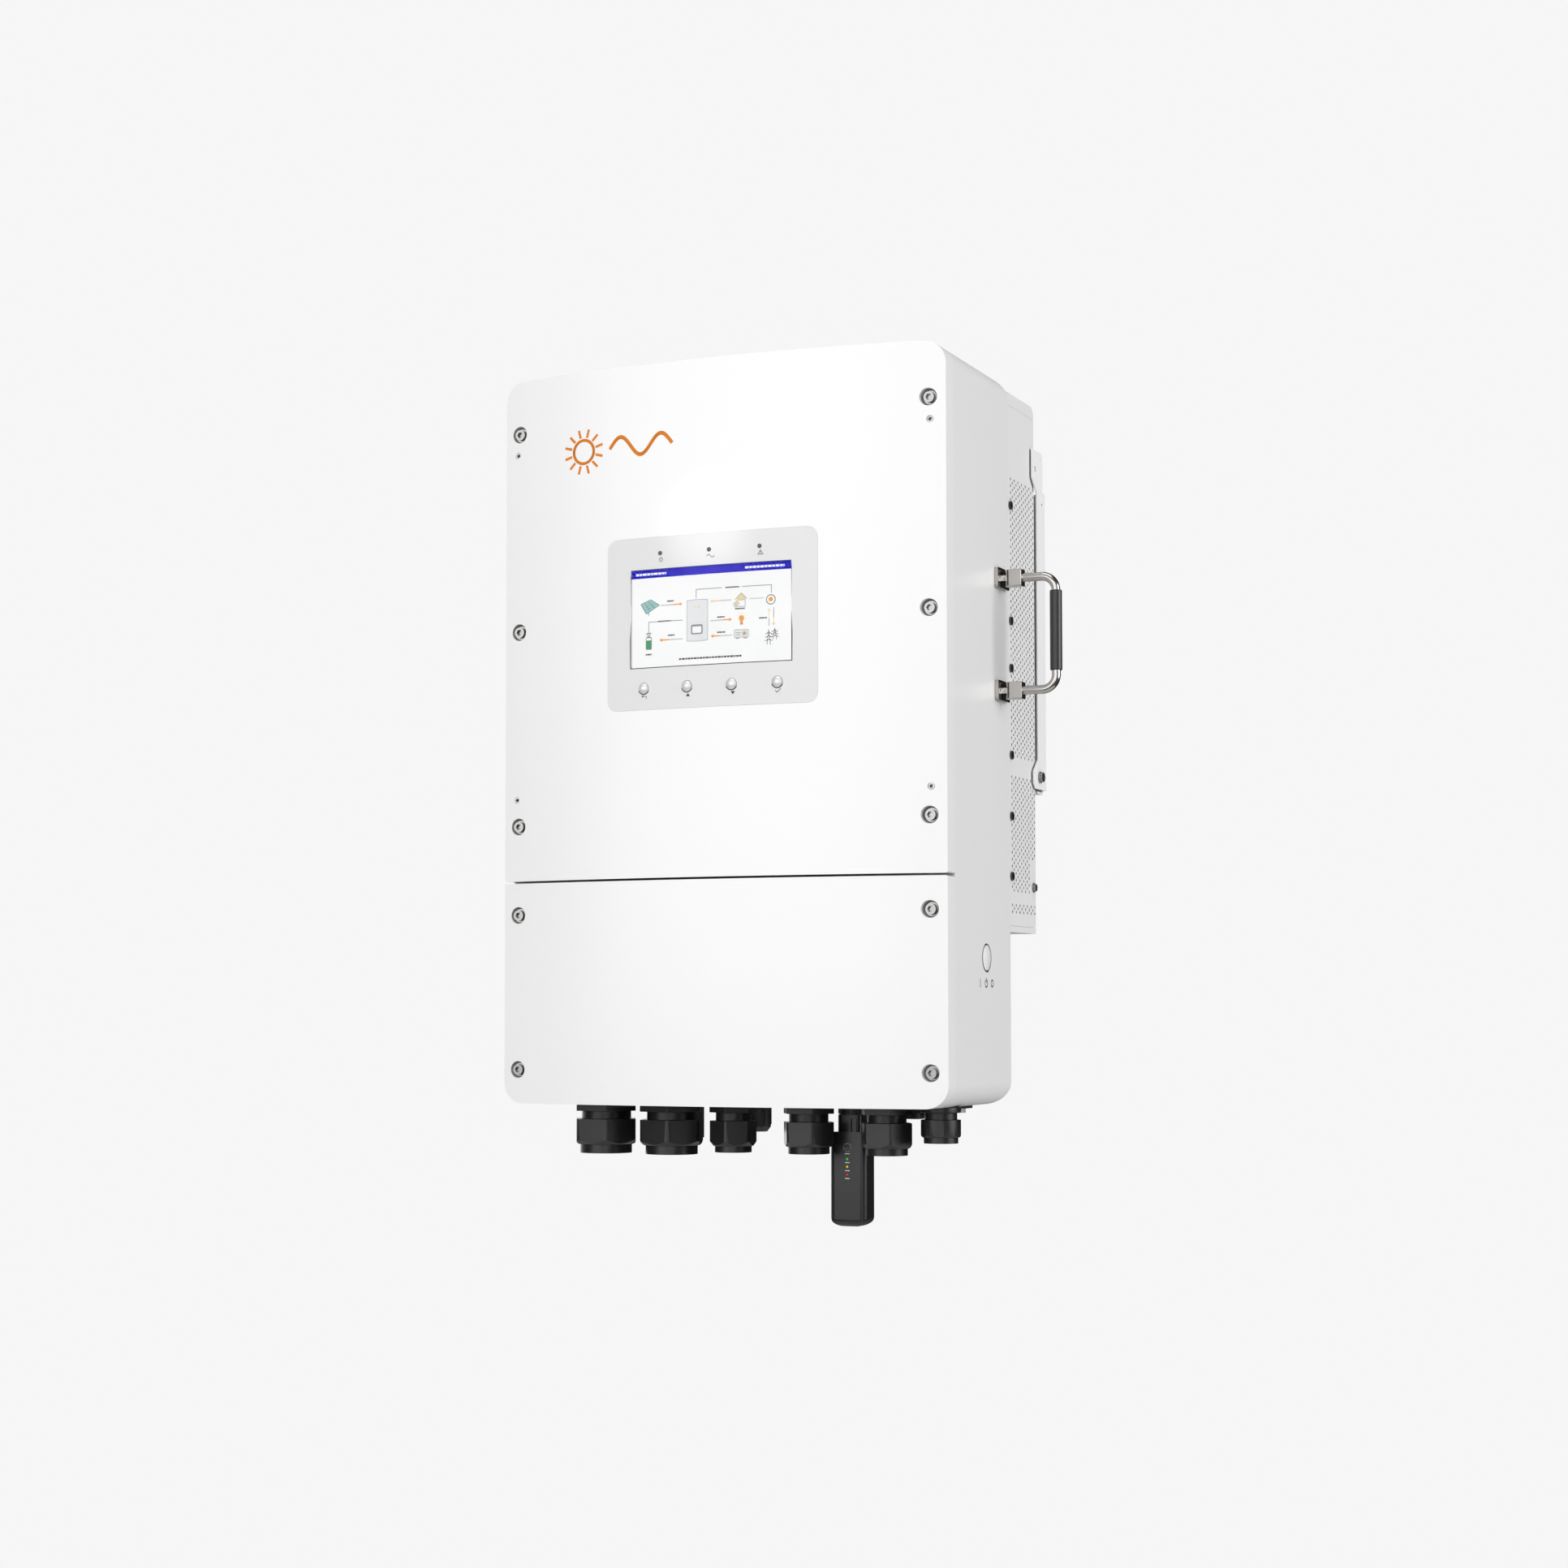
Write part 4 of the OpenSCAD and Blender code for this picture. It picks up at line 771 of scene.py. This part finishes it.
def add_sky():
    """A dim sky that grows towards the top, the right and the front, behind an even backdrop."""
    world = bpy.data.worlds.new("studio")
    bpy.context.scene.world = world
    world.use_nodes = True
    tree = world.node_tree
    direction = tree.nodes.new("ShaderNodeTexCoord")
    split = tree.nodes.new("ShaderNodeSeparateXYZ")
    tree.links.new(direction.outputs["Generated"], split.inputs["Vector"])

    def slope(axis, start, end, gain):
        """Light that grows from start to end along one axis of the sky."""
        ramp = tree.nodes.new("ShaderNodeMapRange")
        ramp.interpolation_type = "SMOOTHSTEP"
        ramp.inputs["From Min"].default_value = start
        ramp.inputs["From Max"].default_value = end
        ramp.inputs["To Max"].default_value = gain
        tree.links.new(split.outputs[axis], ramp.inputs["Value"])
        return ramp.outputs["Result"]

    def total(a, b):
        """Sum of an output and another output or a number."""
        add = tree.nodes.new("ShaderNodeMath")
        tree.links.new(a, add.inputs[0])
        if isinstance(b, float):
            add.inputs[1].default_value = b
        else:
            tree.links.new(b, add.inputs[1])
        return add.outputs["Value"]

    sky = total(slope("Z", -0.2, 0.9, AMBIENT["up"]), slope("X", -0.5, 0.9, AMBIENT["right"]))
    sky = total(total(sky, slope("Y", 0.9, -0.9, AMBIENT["front"])), AMBIENT["all"])
    seen = tree.nodes.new("ShaderNodeLightPath")
    pick = tree.nodes.new("ShaderNodeMix")
    pick.data_type = "RGBA"
    pick.inputs["B"].default_value = BACKDROP
    tree.links.new(seen.outputs["Is Camera Ray"], pick.inputs["Factor"])
    tree.links.new(sky, pick.inputs["A"])
    background = tree.nodes["Background"]
    tree.links.new(pick.outputs["Result"], background.inputs["Color"])
    background.inputs["Strength"].default_value = 1.0


def area_light(name, where, size, power, target):
    lamp = bpy.data.lights.new(name, "AREA")
    lamp.shape = "RECTANGLE"
    lamp.size, lamp.size_y = size
    lamp.energy = power
    aim(into_scene(name, lamp, at(*where)), at(*target) - at(*where))


def add_glow():
    """A small lamp whose bright patch lies over the top edge of the display surround."""
    lamp = bpy.data.lights.new("glow", "SPOT")
    lamp.energy = GLOW_POWER
    lamp.spot_size = math.radians(GLOW_ANGLE)
    lamp.spot_blend = 1.0
    lamp.shadow_soft_size = 0.01
    aim(into_scene("glow", lamp, at(*GLOW_FROM)), at(*GLOW_AT) - at(*GLOW_FROM))


def add_floor():
    """A pale disc that gives off a little light of its own."""
    disc = bmesh.new()
    bmesh.ops.create_circle(disc, cap_ends=True, segments=96, radius=FLOOR_R * MM)
    mesh = bpy.data.meshes.new("floor")
    disc.to_mesh(mesh)
    disc.free()
    floor = into_scene("floor", mesh, at(0, 0, FLOOR_Z))
    s = Shader("floor_paint")
    drift = s.noise(0.6, 2.0)
    s.link(s.ramp(drift, grey(0.54), grey(0.55)), s.bsdf.inputs["Base Color"])
    s.link(s.ramp(drift, grey(0.995), grey(1.0)), s.bsdf.inputs["Emission Color"])
    s.set(Roughness=0.9, Emission_Strength=0.22, Specular_IOR_Level=0.0)
    mesh.materials.append(s.mat)


add_camera()
add_sky()
for name, (where, extent, power, target) in LIGHTS.items():
    area_light(name, where, extent, power, target)
add_glow()
add_floor()
